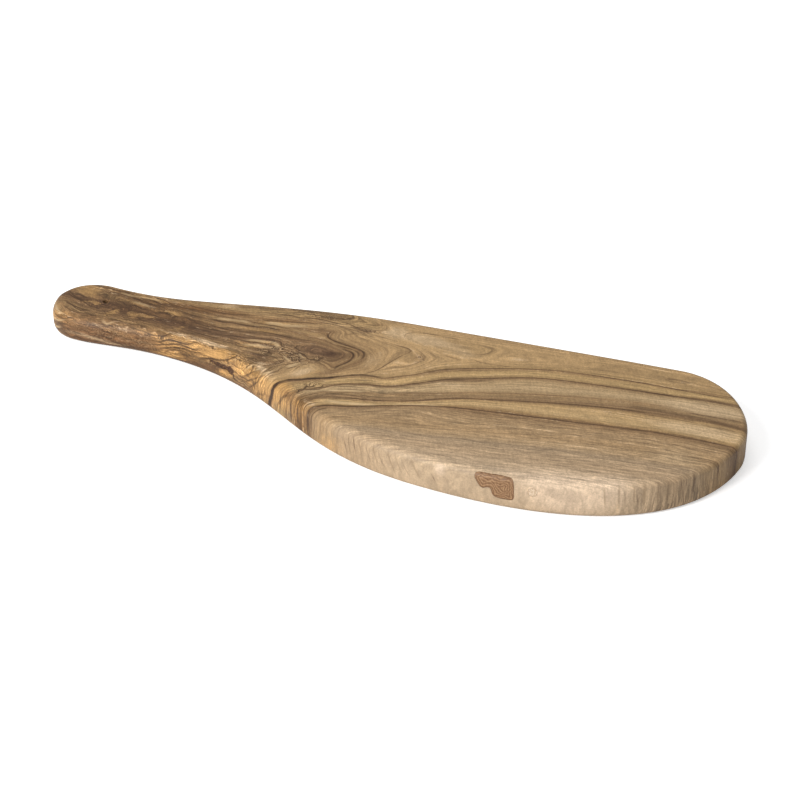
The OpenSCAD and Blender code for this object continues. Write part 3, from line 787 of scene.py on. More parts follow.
    (0, 0.8, 0.5, 0.6, [-108,-8, -98,-8.2, -90,-7, -83,-5]),
    (0, 0.8, 0.5, 0.6, [-112,-15.6, -102,-15.2, -92,-15.6, -84,-14.4]),
    (0, 0.8, 0.5, 0.6, [-90,20, -80,23.4, -70,25.2, -60,27.4]),
    (0, 0.8, 0.5, 0.6, [-86,8.6, -78,10, -70,11, -62,11.6, -54,12.4]),
    (0, 0.8, 0.5, 0.6, [-76,1.2, -68,2.6, -60,3, -50,3.2]),
    (0, 0.8, 0.5, 0.6, [-196,-9, -188,-13, -180,-14.6, -172,-17.6, -164,-17]),
    (0, 0.8, 0.5, 0.6, [-190,-18, -182,-21.4, -174,-22.6, -166,-22]),
    (0, 0.8, 0.5, 0.6, [-166,-6, -160,-4.4, -156,-6.6, -150,-5, -144,-6.4, -138,-5]),
    (0, 0.8, 0.5, 0.6, [-152,-10.6, -146,-11.4, -141,-9.6, -136,-11, -131,-9]),
    (0, 0.8, 0.5, 0.6, [-150,-15, -146,-17.4, -141,-16, -137,-17.6, -131,-15.4]),
    (0, 0.8, 0.5, 0.6, [-170,-12.6, -166,-15.2, -161,-13, -157,-15]),
    (0, 0.7, 0.5, 0.6, [-199,-4, -193,-9, -186,-12.4, -179,-13, -173,-11.6]),
    (0, 0.7, 0.4, 0.5, [-176,1, -168,2.6, -158,2.4, -148,0.6, -140,0.8, -131,2.8]),
    (0, 0.6, 0.4, 0.5, [-150,8.6, -141,8.4, -134,6.6, -125,6, -116,7.4, -106,7.6]),
    (0, 0.6, 0.4, 0.5, [-164,-9, -158,-10.6, -153,-9, -149,-12, -144,-13]),
    (0, 0.6, 0.4, 0.5, [-136,-1, -130,-4.4, -124,-4.8, -119,-2.4]),
    (0, 0.6, 0.4, 0.5, [-114,-3, -109,-5.6, -102,-6, -94,-7.4, -88,-7]),
    (0, 0.6, 0.4, 0.5, [-184,-20, -178,-23.6, -170,-24.6, -160,-21.4, -152,-20]),
    (0, 0.5, 1.6, 1.2, [-141,-18.5, -137,-17.5]),
    # The handle's near flank and its end
    (1, 0.35, 0.6, 0.4, [-158,-25.6, -156.4,-27.5, -153,-28.4, -150.6,-26.4, -147.6,-24.2]),
    (0, 0.6, 0.4, 0.4, [-159,-27, -156,-29.4, -152.4,-30, -149.6,-27.6, -146,-25.4]),
    (0, 0.6, 0.4, 0.4, [-202,-13, -197,-20, -191,-25.4, -186,-28.4, -180,-30.6]),
    (1, 0.45, 0.4, 0.4, [-205,-20, -199,-27.6, -191,-32.4, -184,-34.6, -177,-33.6]),
    (0, 0.6, 0.4, 0.4, [-208,-26, -201,-34.4, -193,-38.4, -184,-39.6]),
    (1, 0.4, 0.4, 0.4, [-199,-16, -194,-22.5, -189,-26.9, -184,-29.9, -179,-32]),
    (0, 0.55, 0.5, 0.5, [-201,-20, -194,-26.4, -187,-31.4, -180,-33.4, -174,-31.4, -166,-30]),
    (0, 0.55, 0.5, 0.5, [-204,-26, -197,-31, -189,-35.4, -181,-36.6, -173,-35]),
    (1, 0.45, 0.6, 0.5, [-204,-29, -197,-34, -189,-38, -181,-38.6]),
    (0, 0.6, 0.5, 0.5, [-173,-36, -171.6,-40, -168.6,-43, -161,-42.6, -155,-40]),
    (0, 0.5, 0.4, 0.5, [-168,-34, -160,-32, -152,-33, -144,-31, -136,-30]),
    (0, 0.5, 0.4, 0.5, [-160,-37, -152,-36, -146,-37.6, -138,-34.6]),
    (0, 0.35, 0.4, 0.4, [-150,-42, -138,-38, -128,-36.5]),
    # Cut rings on the blade's near flank
    (0, 0.5, 0.4, 0.5, [28.3,-67, 28.6,-72, 28.5,-80]),
    (0, 0.4, 0.4, 0.4, [21.6,-68, 21.8,-74, 22.3,-82]),
    (0, 0.3, 0.4, 0.4, [36.4,-69, 37,-76, 39.8,-85]),
    (0, 0.3, 0.4, 0.4, [44,-71, 45,-78, 49.5,-85]),
    (0, 0.25, 0.4, 0.4, [57.5,-73, 59.5,-79, 65,-86]),
    (0, 0.6, 0.4, 0.3, [74.6,-78.5, 76,-80.5, 77.5,-82.5]),
    (0, 0.35, 0.4, 0.5, [165,-48.5, 168.5,-52, 172,-57]),
    (0, 0.4, 0.5, 0.6, [170,-45, 174,-49, 178.5,-53]),
    # The nose's upper face
    (0, 0.35, 0.4, 0.4, [163,-1.4, 180,-1.6, 197,-1]),
    (0, 0.35, 0.4, 0.5, [165,-8, 178,-8.2, 192,-8.6, 206,-6]),
    (0, 0.6, 0.5, 0.6, [163,30, 175,32, 185,33.5, 197,35.5]),
    (0, 0.3, 0.5, 0.5, [165,19, 180,22.5, 192,23.5]),
    (0, 0.3, 1.0, 1.2, [138,58.2, 150,59.6, 160,60.4, 170,61, 178,61]),
]
# How far a stroke's stain reaches, how far apart the strokes of one layer are, and how far one is measured
STROKE_REACH, STROKE_GAP, STROKE_FAR, UNTOUCHED = 1.2, 5.0, 3.0, 9.0
# A stroke fades in and out over this length, and over this share of itself at most
FADE_LENGTH, FADE_MOST = 7.0, 0.4
# Cut rings that show as lines down the near flank: x, how far each leans, tone, strength and half width
RUNGS = [
    (2, -1.5, 0.3, 0.7, 0.35), (6, -0.8, 0.3, 0.6, 0.3), (10, -0.2, 0.3, 0.7, 0.35), (14, 0.4, 0.3, 0.6, 0.3),
    (18, 1.0, 0.3, 0.6, 0.3), (25, 2.2, 0.3, 0.7, 0.35), (32, 3.3, 0.3, 0.6, 0.3), (40.5, 4.7, 0.3, 0.6, 0.3),
    (49, 6.0, 0.3, 0.6, 0.35), (53, 6.6, 0.3, 0.5, 0.3), (62, 8, 0.4, 0.5, 0.3), (157, 1, 0.3, 0.4, 0.4),
    (163, 0.5, 0.2, 0.6, 0.5), (169, 0.4, 0.2, 0.4, 0.4), (173, 0, 0.3, 0.5, 0.8), (178, 0.5, 0.1, 0.5, 0.4),
    (181.5, 0, 0.1, 0.4, 0.6), (186, 0.4, 0.1, 0.5, 0.4), (190, 0, 0.0, 0.5, 0.8), (193.5, 0, 0.1, 0.4, 0.5),
    (196.5, 0, 0.0, 0.5, 0.6), (198.6, 0, 0.1, 0.4, 0.6),
]
# Points of each such line: how far out from the edge, and how much of its lean it has there
RUNG_POINTS, RUNG_SPREAD = [(-3, 0), (4, 0.35), (12, 1)], 1.3


def rungs():
    """The strokes for the cut rings, from inside the ridge straight down the flank."""
    out = []
    for x, lean, tone, strength, wide in RUNGS:
        ex, ey, nx, ny = near_place(x)
        points = [(ex + a * nx - b * lean * ny, ey + a * ny + b * lean * nx) for a, b in RUNG_POINTS]
        out.append((tone, strength, wide, RUNG_SPREAD * wide, points))
    return out


def beside(line, p):
    """Signed distance of points from a line, and how far along it they lie, from 0 to 1."""
    start = line[:-1]
    way = line[1:] - start
    size = np.linalg.norm(way, axis=1)
    before = np.concatenate([[0], np.cumsum(size)[:-1]])
    gap = p[:, None] - start[None]
    share = np.clip((gap * way).sum(-1) / size**2, 0, 1)
    apart = np.linalg.norm(gap - share[..., None] * way, axis=-1)
    k = apart.argmin(1)
    rows = np.arange(len(p))
    side = np.sign(way[k, 0] * gap[rows, k, 1] - way[k, 1] * gap[rows, k, 0])
    return side * apart[rows, k], (before[k] + share[rows, k] * size[k]) / size.sum()


def between(line, other):
    """Least distance between the points of two lines."""
    return np.linalg.norm(line[:, None] - other, axis=-1).min()


def layered_strokes():
    """The strokes sorted into layers in which none comes near another."""
    layers = []
    for tone, strength, first, last, points in STROKES + rungs():
        line = through(points, 1.0)
        wide = max(first, last)
        for layer in layers:
            if min(between(line, other) - wide - w for _, _, _, w, other in layer) > STROKE_GAP:
                break
        else:
            layer = []
            layers.append(layer)
        layer.append((tone, strength, (first, last), wide, line))
    return layers


def stroke_values(layer, p):
    """Each point's distance from the nearest stroke in half widths, and the stroke's strength and tone."""
    out = np.zeros((len(p), 3))
    out[:, 0] = UNTOUCHED
    for tone, strength, (first, last), wide, line in layer:
        reach = wide + STROKE_FAR
        inside = np.flatnonzero(((p > line.min(0) - reach) & (p < line.max(0) + reach)).all(1))
        if len(inside) == 0:
            continue
        apart, along = beside(line, p[inside])
        size = np.linalg.norm(np.diff(line, axis=0), axis=1).sum()
        fade = min(FADE_MOST, FADE_LENGTH / size)
        taper = ease(along / fade) * ease((1 - along) / fade)
        taper = taper * (1 - ease((np.abs(apart) - wide - STROKE_REACH) / STROKE_REACH))
        ratio = apart / (first + (last - first) * along)
        better = (np.abs(apart) < reach) & (np.abs(ratio) < np.abs(out[inside, 0]))
        values = np.column_stack([ratio, strength * taper, np.full(len(inside), tone)])
        out[inside[better]] = values[better]
    return out


# Materials

def linear(rgb):
    """A colour as seen on a screen, 0 to 255, as linear shares."""
    out = []
    for v in rgb:
        s = v / 255
        out.append(s / 12.92 if s <= 0.04045 else ((s + 0.055) / 1.055) ** 2.4)
    return (*out, 1.0)


class Tree:
    """Short calls that build a node tree."""

    def __init__(self, name):
        self.material = bpy.data.materials.new(name)
        self.material.use_nodes = True
        self.tree = self.material.node_tree
        self.tree.nodes.clear()
        self.out = self.tree.nodes.new("ShaderNodeOutputMaterial")

    def put(self, socket, value):
        if isinstance(value, bpy.types.NodeSocket):
            self.tree.links.new(value, socket)
        elif value is not None:
            socket.default_value = value

    def node(self, kind, **settings):
        made = self.tree.nodes.new(kind)
        for name, value in settings.items():
            setattr(made, name, value)
        return made

    def value(self, name):
        return self.node("ShaderNodeAttribute", attribute_name=name).outputs["Fac"]

    def vector(self, name):
        return self.node("ShaderNodeAttribute", attribute_name=name).outputs["Vector"]

    def place(self):
        return self.node("ShaderNodeTexCoord").outputs["Object"]

    def math(self, operation, a, b=None, c=None, clamp=False):
        made = self.node("ShaderNodeMath", operation=operation, use_clamp=clamp)
        for socket, value in zip(made.inputs, (a, b, c)):
            self.put(socket, value)
        return made.outputs[0]

    def times(self, a, b, clamp=False):
        return self.math("MULTIPLY", a, b, clamp=clamp)

    def plus(self, a, b):
        return self.math("ADD", a, b)

    def times_plus(self, a, b, c):
        """a times b, plus c."""
        return self.math("MULTIPLY_ADD", a, b, c)

    def scaled(self, vector, factors):
        made = self.node("ShaderNodeVectorMath", operation="MULTIPLY")
        self.put(made.inputs[0], vector)
        made.inputs[1].default_value = factors
        return made.outputs[0]

    def turned(self, vector, angle):
        """A vector turned about the vertical."""
        made = self.node("ShaderNodeVectorRotate", rotation_type="Z_AXIS")
        self.put(made.inputs["Vector"], vector)
        made.inputs["Angle"].default_value = angle
        return made.outputs[0]

    def noise(self, vector, scale, w=None, detail=2.0, rough=0.5, distortion=0.0):
        made = self.node("ShaderNodeTexNoise", noise_dimensions="3D" if w is None else "4D")
        values = (vector, w, scale, detail, rough, distortion)
        for name, value in zip(("Vector", "W", "Scale", "Detail", "Roughness", "Distortion"), values):
            if value is not None:
                self.put(made.inputs[name], value)
        return made.outputs["Fac"]

    def span(self, value, low, high, to_low=0.0, to_high=1.0, smooth=False):
        """The value moved from the range low to high onto the range to_low to to_high."""
        made = self.node("ShaderNodeMapRange", interpolation_type="SMOOTHSTEP" if smooth else "LINEAR")
        for socket, v in zip(made.inputs, (value, low, high, to_low, to_high)):
            self.put(socket, v)
        return made.outputs[0]

    def ramp(self, value, stops, low=0.0, high=1.0):
        """A colour ramp whose stops are at values from low to high."""
        made = self.node("ShaderNodeValToRGB")
        self.put(made.inputs[0], self.span(value, low, high) if (low, high) != (0, 1) else value)
        band = made.color_ramp
        band.interpolation = "LINEAR"
        while len(band.elements) > 1:
            band.elements.remove(band.elements[0])
        for k, (at, colour) in enumerate(stops):
            spot = (at - low) / (high - low)
            stop = band.elements[0] if k == 0 else band.elements.new(spot)
            stop.position = spot
            stop.color = linear(colour)
        return made.outputs[0]

    def mix(self, share, a, b, kind="MIX"):
        made = self.node("ShaderNodeMix", data_type="RGBA", blend_type=kind, clamp_factor=True)
        self.put(made.inputs["Factor"], share)
        sockets = [s for s in made.inputs if s.type == "RGBA"]
        self.put(sockets[0], linear(a) if isinstance(a, tuple) else a)
        self.put(sockets[1], linear(b) if isinstance(b, tuple) else b)
        return [s for s in made.outputs if s.type == "RGBA"][0]

    def shade(self, colour, amount):
        """The colour times a value, which is 1 where nothing changes."""
        made = self.node("ShaderNodeVectorMath", operation="SCALE")
        self.put(made.inputs[0], colour)
        self.put(made.inputs["Scale"], amount)
        return made.outputs[0]

    def finish(self, colour, rough, height, depth, strength):
        """The surface, with bumps from a height that is at most so deep, in metres."""
        skin = self.node("ShaderNodeBsdfPrincipled")
        self.put(skin.inputs["Base Color"], colour)
        self.put(skin.inputs["Roughness"], rough)
        skin.inputs["Specular IOR Level"].default_value = OILED_SHEEN
        bump = self.node("ShaderNodeBump")
        bump.inputs["Strength"].default_value = strength
        bump.inputs["Distance"].default_value = depth
        self.put(bump.inputs["Height"], height)
        self.put(skin.inputs["Normal"], bump.outputs[0])
        self.tree.links.new(skin.outputs[0], self.out.inputs["Surface"])
        return self.material


OILED_SHEEN = 0.25
RING_TONES = [
    (-45, (181, 157, 128)), (-33, (177, 150, 118)), (-27, (171, 145, 114)), (-24, (160, 136, 107)),
    (-20, (170, 142, 107)), (-14, (166, 136, 99)), (-8, (167, 138, 102)), (-4, (158, 129, 94)),
    (-1, (142, 113, 80)), (0.4, (124, 96, 66)), (1.6, (158, 127, 86)), (3.5, (188, 157, 112)),
    (7.5, (188, 156, 110)), (9.8, (172, 140, 97)), (11.6, (132, 104, 72)), (14, (142, 113, 80)),
    (18, (156, 127, 90)), (22, (146, 117, 82)), (24.5, (170, 142, 104)), (28, (184, 156, 117)),
    (33, (180, 151, 111)), (36.2, (150, 121, 86)), (38, (140, 111, 77)), (39.4, (162, 132, 91)),
    (43, (188, 156, 108)), (47, (184, 152, 105)), (51, (160, 129, 89)), (53.2, (142, 113, 79)),
    (54.8, (168, 137, 94)), (60, (184, 151, 107)), (65, (172, 139, 97)), (69, (160, 129, 90)),
    (72, (134, 104, 71)), (76, (164, 133, 92)), (80, (134, 104, 71)), (85, (156, 125, 86)),
    (90, (126, 97, 67)), (95, (146, 115, 80)), (100, (118, 90, 64)), (105, (138, 108, 78)),
]
FIRST_RING, LAST_RING = -60.0, 110.0
# Zones: colour, how it is laid over the rings, how strongly, how ragged its border is and how soft
ZONE_TONES = [
    ("umber", (174, 154, 136), "MULTIPLY", 1.0, 0.3, 0.4),
    # Darkens dark wood, and paints shade on the far side
    ("dark_wood_and_far_shade", (168, 156, 158), "MULTIPLY", 0.85, 0.8, 0.4),
    ("gold", (205, 157, 95), "MIX", 0.75, 0.7, 0.35), ("rust", (121, 86, 57), "MIX", 0.7, 0.7, 0.35),
    ("tan", (168, 131, 84), "MIX", 0.85, 1.7, 0.2), ("pale", (206, 178, 140), "MIX", 0.7, 0.4, 0.4),
    # The cream tone also paints a small highlight on the near flank
    ("beige", (188, 160, 123), "MIX", 0.8, 0.5, 0.3), ("cream_and_highlight", (223, 197, 168), "MIX", 0.85, 0.15, 0.45),
    # Pale tone for wear, and for painted sheen on the rounded ridge
    ("worn", (222, 192, 154), "MIX", 0.6, 2.3, 0.3),
]
# Streaks: how often they change to a metre in x, y and z, how fast across the rings, and their detail
GRAINS = {
    "streak": ((16.0, 16.0, 30.0), 1.0, 2.0), "fibre": ((130.0, 130.0, 130.0), 1.9, 1.0),
    "flow": ((26.0, 26.0, 40.0), 0.35, 1.0), "thread": ((75.0, 75.0, 75.0), 3.0, 1.0),
    "hair": ((60.0, 60.0, 60.0), 0.8, 1.0),
}
# Colours of the lines that are laid over the rings, by kind
DARK = {
    "flow": (58, 40, 27), "hair": (62, 42, 28), "ring": (68, 48, 33), "curl": (62, 43, 29),
    "stroke": (66, 47, 32),
}
LIGHT = {"curl": (212, 178, 134), "stroke": (214, 184, 140)}
STAIN, NO_STAIN = (158, 128, 94), (255, 255, 255)
# Directions of the curls and of the rays, in radians from X, and the dark knot's rings, in millimetres
CURL_TURN, RAY_TURN = 0.35, 0.98
KNOT_RING = 1.25


def ring_colour(t, number):
    """The tone of each ring, from two ramps that meet in the middle of the table."""
    half = len(RING_TONES) // 2
    middle = RING_TONES[half][0]
    inner = t.ramp(number, RING_TONES[: half + 1], FIRST_RING, middle)
    outer = t.ramp(number, RING_TONES[half:], middle, LAST_RING)
    return t.mix(t.math("GREATER_THAN", number, middle), inner, outer)


def centred(t, value, times):
    """A noise value turned into a shift to both sides."""
    return t.times(t.math("SUBTRACT", value, 0.5), times)


def bent(t, ring, slope, figure, place):
    """Ring numbers with the small wander of real grain, and the curls of the neck and the handle."""
    wander = centred(t, t.noise(t.scaled(place, (60.0, 60.0, 30.0)), 1.0), 1.5)
    fine = centred(t, t.noise(place, 260.0), 0.9)
    curl = centred(t, t.noise(place, 48.0, rough=0.55), 11.0)
    ripple = centred(t, t.noise(place, 140.0, detail=3.0, rough=0.75), 6.5)
    twist = centred(t, t.noise(place, 180.0, detail=3.0, rough=0.6), 24.0)
    shift = t.times_plus(t.plus(curl, ripple), figure, t.plus(wander, fine))
    shift = t.times_plus(twist, t.value("burl"), shift)
    return t.times_plus(shift, slope, ring)


def grain_noise(t, place, number, slope, scales, rate, detail):
    """Noise in streaks along the rings that are about as wide everywhere, whatever the rings' spacing."""
    place = t.scaled(place, scales)
    wide, mid, tight = (t.noise(place, 1.0, w=t.times(number, step * rate), detail=detail, rough=0.6)
                        for step in (2.4, 0.95, 0.38))
    loose = t.mix(t.span(slope, 0.25, 0.6), wide, mid)
    return t.mix(t.span(slope, 0.7, 1.7), loose, tight)


def veins(t, field, times, width):
    """Thin dark lines along the levels of a field: crisp on one side and soft on the other."""
    share = t.math("FRACT", t.times(field, times))
    return t.times(t.span(share, 0.0, width, 1.0, 0.0), t.span(share, 0.0, 0.03, 0.0, 1.0)), share


def growth(t, number, slope, place):
    """Thin dark lines that follow the rings, 2 to 3 mm apart everywhere, and come and go."""
    drift = centred(t, t.noise(place, 24.0), 2.4)
    close, _ = veins(t, t.times_plus(number, 0.40, drift), 1.0, 0.45)
    apart, _ = veins(t, t.times_plus(number, 0.95, drift), 1.0, 0.45)
    line = t.mix(t.span(slope, 0.55, 0.8), apart, close)
    there = t.noise(t.scaled(place, (22.0, 22.0, 22.0)), 1.0, w=t.times(number, 0.5), detail=1.0)
    return t.times(line, t.span(there, 0.36, 0.6))


def squiggles(t, colour, place):
    """Curly light and dark lines of the wild grain, drawn along the levels of a noise."""
    along = t.scaled(t.turned(place, CURL_TURN), (150.0, 230.0, 190.0))
    line, share = veins(t, t.noise(along, 1.0, detail=1.5, distortion=0.8), 8.0, 0.5)
    curly = t.value("curly")
    colour = t.mix(t.times(t.span(share, 0.62, 0.9, 0.0, 0.6), curly), colour, LIGHT["curl"])
    return t.mix(t.times(line, t.times(curly, 1.2), clamp=True), colour, DARK["curl"])


def lay_strokes(t, colour, layers, place):
    """The single grain lines, dark or pale, with slightly ragged sides and a soft stain beside them."""
    ragged = centred(t, t.noise(place, 420.0), 0.8)
    uneven = t.span(t.noise(place, 110.0), 0.3, 0.58, 0.55, 1.0)
    for k in range(layers):
        parts = t.node("ShaderNodeSeparateXYZ")
        t.put(parts.inputs[0], t.vector(f"stroke_{k}"))
        off, strength, pale = parts.outputs
        off = t.times_plus(t.math("ABSOLUTE", off), t.times_plus(pale, -0.4, 1.0), ragged)
        strength = t.times(strength, uneven)
        halo = t.times(t.span(off, 0.6, 2.4, 0.2, 0.0), strength)
        colour = t.mix(halo, colour, t.mix(pale, STAIN, NO_STAIN), "MULTIPLY")
        cover = t.times(t.span(off, 0.55, 1.0, 1.0, 0.0), strength)
        colour = t.mix(cover, colour, t.mix(pale, DARK["stroke"], LIGHT["stroke"]))
    return colour


def lay_zones(t, colour, streak, patch):
    """The zones' colours, with borders that follow the streaks of the grain."""
    rough = t.plus(centred(t, streak, 1.0), centred(t, patch, 0.6))
    for name, tone, kind, most, ragged, soft in ZONE_TONES:
        cover = t.times_plus(rough, ragged, t.value(name))
        cover = t.times(t.span(cover, 0.5 - soft, 0.5 + soft, smooth=True), most)
        colour = t.mix(cover, colour, tone, kind)
    return colour


def shade_grain(t, colour, grain, grit, number, place):
    """Streaks, pores, rays and fibres that make the wood lighter and darker, less so where it is calm."""
    busy = t.value("busy")
    side = t.value("side")
    fibre = grain["fibre"]
    tone = t.times(t.span(grain["streak"], 0.33, 0.67, 0.80, 1.16), t.span(fibre, 0.28, 0.72, 0.82, 1.18))
    swing = t.math("MAXIMUM", busy, t.span(side, 0.0, 1.0, 1.0, 0.55))
    swing = t.times(t.span(t.value("calm"), 0.0, 1.0, 1.0, 0.3), swing)
    tone = t.times_plus(t.math("SUBTRACT", tone, 1.0), swing, 1.0)
    pores = t.times_plus(centred(t, grit, 1.0), t.span(side, 0.0, 1.0, 1.05, 0.65), 1.0)
    rays = t.noise(t.scaled(t.turned(place, RAY_TURN), (160.0, 800.0, 300.0)), 1.0, detail=1.0)
    small = t.times(pores, t.span(rays, 0.3, 0.7, 0.92, 1.08))
    colour = t.shade(colour, t.times(tone, small))
    extra = t.plus(t.span(fibre, 0.38, 0.62, -0.29, 0.29), t.span(grain["thread"], 0.38, 0.62, -0.23, 0.23))
    sap = t.times(t.span(number, -2.0, 1.0, 0.42, 0.0), t.span(side, 0.0, 1.0, 1.0, 0.2))
    return t.shade(colour, t.times_plus(extra, t.math("MAXIMUM", busy, sap), 1.0))


def lay_lines(t, colour, grain, number, slope, figure, place):
    """Dark lines that the material draws itself, in the figured wood, the busy wood and along the rings."""
    busy = t.value("busy")
    line, share = veins(t, grain["flow"], 5.0, 0.36)
    colour = t.shade(colour, t.times_plus(t.span(share, 0.55, 1.0, 0.0, 0.22), figure, 1.0))
    colour = t.mix(t.times(line, t.times_plus(figure, 0.60, 0.10)), colour, DARK["flow"])
    thin, _ = veins(t, grain["hair"], 7.0, 0.30)
    colour = t.mix(t.times(thin, t.times_plus(busy, 0.56, 0.08)), colour, DARK["hair"])
    fine = t.times(growth(t, number, slope, place), t.times_plus(busy, 0.46, 0.40))
    fine = t.times(fine, t.math("SUBTRACT", 1.0, t.value("calm")))
    return t.mix(t.times(fine, t.span(number, -30.0, 2.0, 0.35, 1.0)), colour, DARK["ring"])


def wood(layers):
    """Olive wood: ring tones, zones, streaks that follow the rings, lines, curls and single strokes."""
    t = Tree("olive_wood")
    slope = t.value("slope")
    figure = t.value("figure")
    place = t.place()
    number = bent(t, t.value("ring"), slope, figure, place)
    grain = {name: grain_noise(t, place, number, slope, *settings) for name, settings in GRAINS.items()}
    patch = t.noise(place, 320.0, detail=3.0, rough=0.6)
    grit = t.noise(place, 1300.0, rough=0.7)
    colour = lay_zones(t, ring_colour(t, number), grain["streak"], patch)
    colour = shade_grain(t, colour, grain, grit, number, place)
    colour = lay_lines(t, colour, grain, number, slope, figure, place)
    colour = lay_strokes(t, squiggles(t, colour, place), layers, place)
    rough = t.span(grain["fibre"], 0.3, 0.7, 0.46, 0.6)
    return t.finish(colour, rough, t.plus(grain["fibre"], grit), depth=0.00012, strength=0.6)


def knot_wood():
    """Dark branch wood with rings that follow its rim."""
    t = Tree("knot_wood")
    place = t.vector("face_place")
    rim = t.value("rim")
    swirl = centred(t, t.noise(place, 0.24, detail=1.0), 3.0)
    phase = t.plus(t.math("DIVIDE", rim, KNOT_RING), swirl)
    wave = t.times_plus(t.math("SINE", t.times(phase, 2 * math.pi)), 0.15, 0.24)
    grain = t.noise(place, 1.1)
    lines = t.times_plus(grain, 0.5, wave)
    colour = t.ramp(lines, [(0.2, (96, 68, 47)), (0.5, (142, 107, 76)), (0.85, (182, 148, 110))])
    edge_dark = t.times(t.span(rim, 0.0, 0.9, 0.8, 0.0, smooth=True), t.span(grain, 0.35, 0.6))
    colour = t.mix(edge_dark, colour, (86, 58, 40))
    return t.finish(colour, t.span(lines, 0.3, 0.7, 0.4, 0.6), lines, depth=0.0002, strength=0.5)


def pale_knot_wood():
    """Pale branch wood with a darker rim."""
    t = Tree("pale_knot_wood")
    grain = t.noise(t.vector("face_place"), 1.2, detail=3.0)
    colour = t.ramp(grain, [(0.3, (172, 142, 112)), (0.5, (208, 184, 156)), (0.7, (222, 202, 176))])
    colour = t.mix(t.span(t.value("rim"), 0.0, 0.5, 0.45, 0.0, smooth=True), colour, (136, 104, 78))
    return t.finish(colour, t.span(grain, 0.3, 0.7, 0.45, 0.6), grain, depth=0.0001, strength=0.4)


def bark():
    """Dark rough bark with cracks."""
    t = Tree("bark")
    cracks = t.noise(t.vector("face_place"), 0.9, detail=4.0, rough=0.65, distortion=0.8)
    colour = t.ramp(cracks, [(0.3, (54, 38, 29)), (0.5, (80, 57, 42)), (0.7, (122, 91, 64))])
    return t.finish(colour, t.span(cracks, 0.3, 0.7, 0.7, 0.9), cracks, depth=0.0004, strength=0.8)


# The pieces: the inclusions' places along the near edge, their outlines and how deep they reach

KNOT_X, PIN_X, BARK_X = 106.8, 125.4, -75.8
KNOT_DEPTH, PIN_DEPTH, BARK_DEPTH = 9.0, 6.0, 5.0
KNOT_OUTLINE = outline_of(KNOT_SHARES, 18.8, 11.6, 5.6)
PIN_OUTLINE = outline_of(PIN_SHARES, 4.4, 4.4, 9.6)
BARK_OUTLINE = outline_of(BARK_SHARES, 16.6, 5.0, 6.6)
# Gaps round the inclusions, and how much deeper their pockets are
KNOT_GAP, FINE_GAP, POCKET_DEEPER = 0.06, 0.05, 0.2
# Rings to a millimetre that the streaks are made for, at least and at most
SLOPE_RANGE = (0.15, 3.0)
# How strongly painted shade darkens the far side, from which y, and over what width it gets so
FAR_SHADE, FAR_SHADE_FROM, FAR_SHADE_OVER = 0.6, -10.0, 20.0


def put(obj, node, material):
    """Makes the object stand for a CAD node, with a material of the node's slot."""
    obj.data.materials.clear()
    obj.data.materials.append(material)
    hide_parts(node)
    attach(obj, "root")


def carve_pockets(obj):
    """The places of the three inclusions."""
    pockets = [("knot_pocket", KNOT_X, KNOT_OUTLINE, KNOT_GAP, KNOT_DEPTH),
               ("pin_pocket", PIN_X, PIN_OUTLINE, FINE_GAP, PIN_DEPTH),
               ("bark_pocket", BARK_X, BARK_OUTLINE, FINE_GAP, BARK_DEPTH)]
    for name, x, outline, gap, depth in pockets:
        carve(obj, pocket_cutter(name, x, grown(outline, gap), depth + POCKET_DEEPER))


def mark_zones(obj, p, flat):
    """The plank's zones as attributes: the far side gets painted shade, and calm wood has no figure and isn't
    busy.
    """
    covers = {name: spots(flat, table) for name, table in ZONES.items()}
    side = down_side(p)
    set_value(obj, "side", side)
    # Painted shade: the sides of the far half are darkened
    covers["dark_wood_and_far_shade"] = np.maximum(covers["dark_wood_and_far_shade"], FAR_SHADE * side * ease((p[:, 1] - FAR_SHADE_FROM) / FAR_SHADE_OVER))
    still = 1 - covers["calm"]
    for name, cover in covers.items():
        set_value(obj, name, cover * still if name in ("figure", "busy") else cover)


def build_plank():
    """The plank with its hole and pockets, and with its rings, zones and strokes as attributes."""
    obj = new_object("plank", *plank_mesh())
    carve(obj, hole_cutter())
    carve_pockets(obj)
    p = points_of(obj)
    flat, under = unfolded(p)
    share = side_share(p)[:, None]
    ring, slope = ring_number(fit_rings(), flat * share + p[:, :2] * (1 - share))
    set_value(obj, "ring", ring)
    set_value(obj, "slope", np.clip(slope, *SLOPE_RANGE))
    mark_zones(obj, p, flat)
    layers = layered_strokes()
    for k, layer in enumerate(layers):
        values = stroke_values(layer, flat)
        values[:, 1] *= 1 - under
        set_vector(obj, f"stroke_{k}", values)
    smooth(obj, PLANK_SHARP)
    put(obj, "board", wood(len(layers)))


def knot_relief(uz, gap):
    """The knot's face waves a little, and its rim is drawn in."""
    wave = 0.06 * np.sin(uz[:, 0] * 1.3 + 0.8 * np.sin(uz[:, 1] * 0.9)) * ease(gap / 1.5)
    return 0.10 * ease(gap / 0.8) - 0.10 + wave


def pin_relief(uz, gap):
    """The small knot stands a hair proud, and its rim is drawn in."""
    return 0.08 * ease(gap / 0.5) - 0.06


def bark_relief(uz, gap):
    """Bark lies a little below the wood, with fissures along it."""
    crack = np.sin(uz[:, 1] * 4.2 + 1.5 * np.sin(uz[:, 0] * 0.8))
    return -0.25 - 0.3 * ease(gap / 1.2) * np.clip(crack, 0, 1)


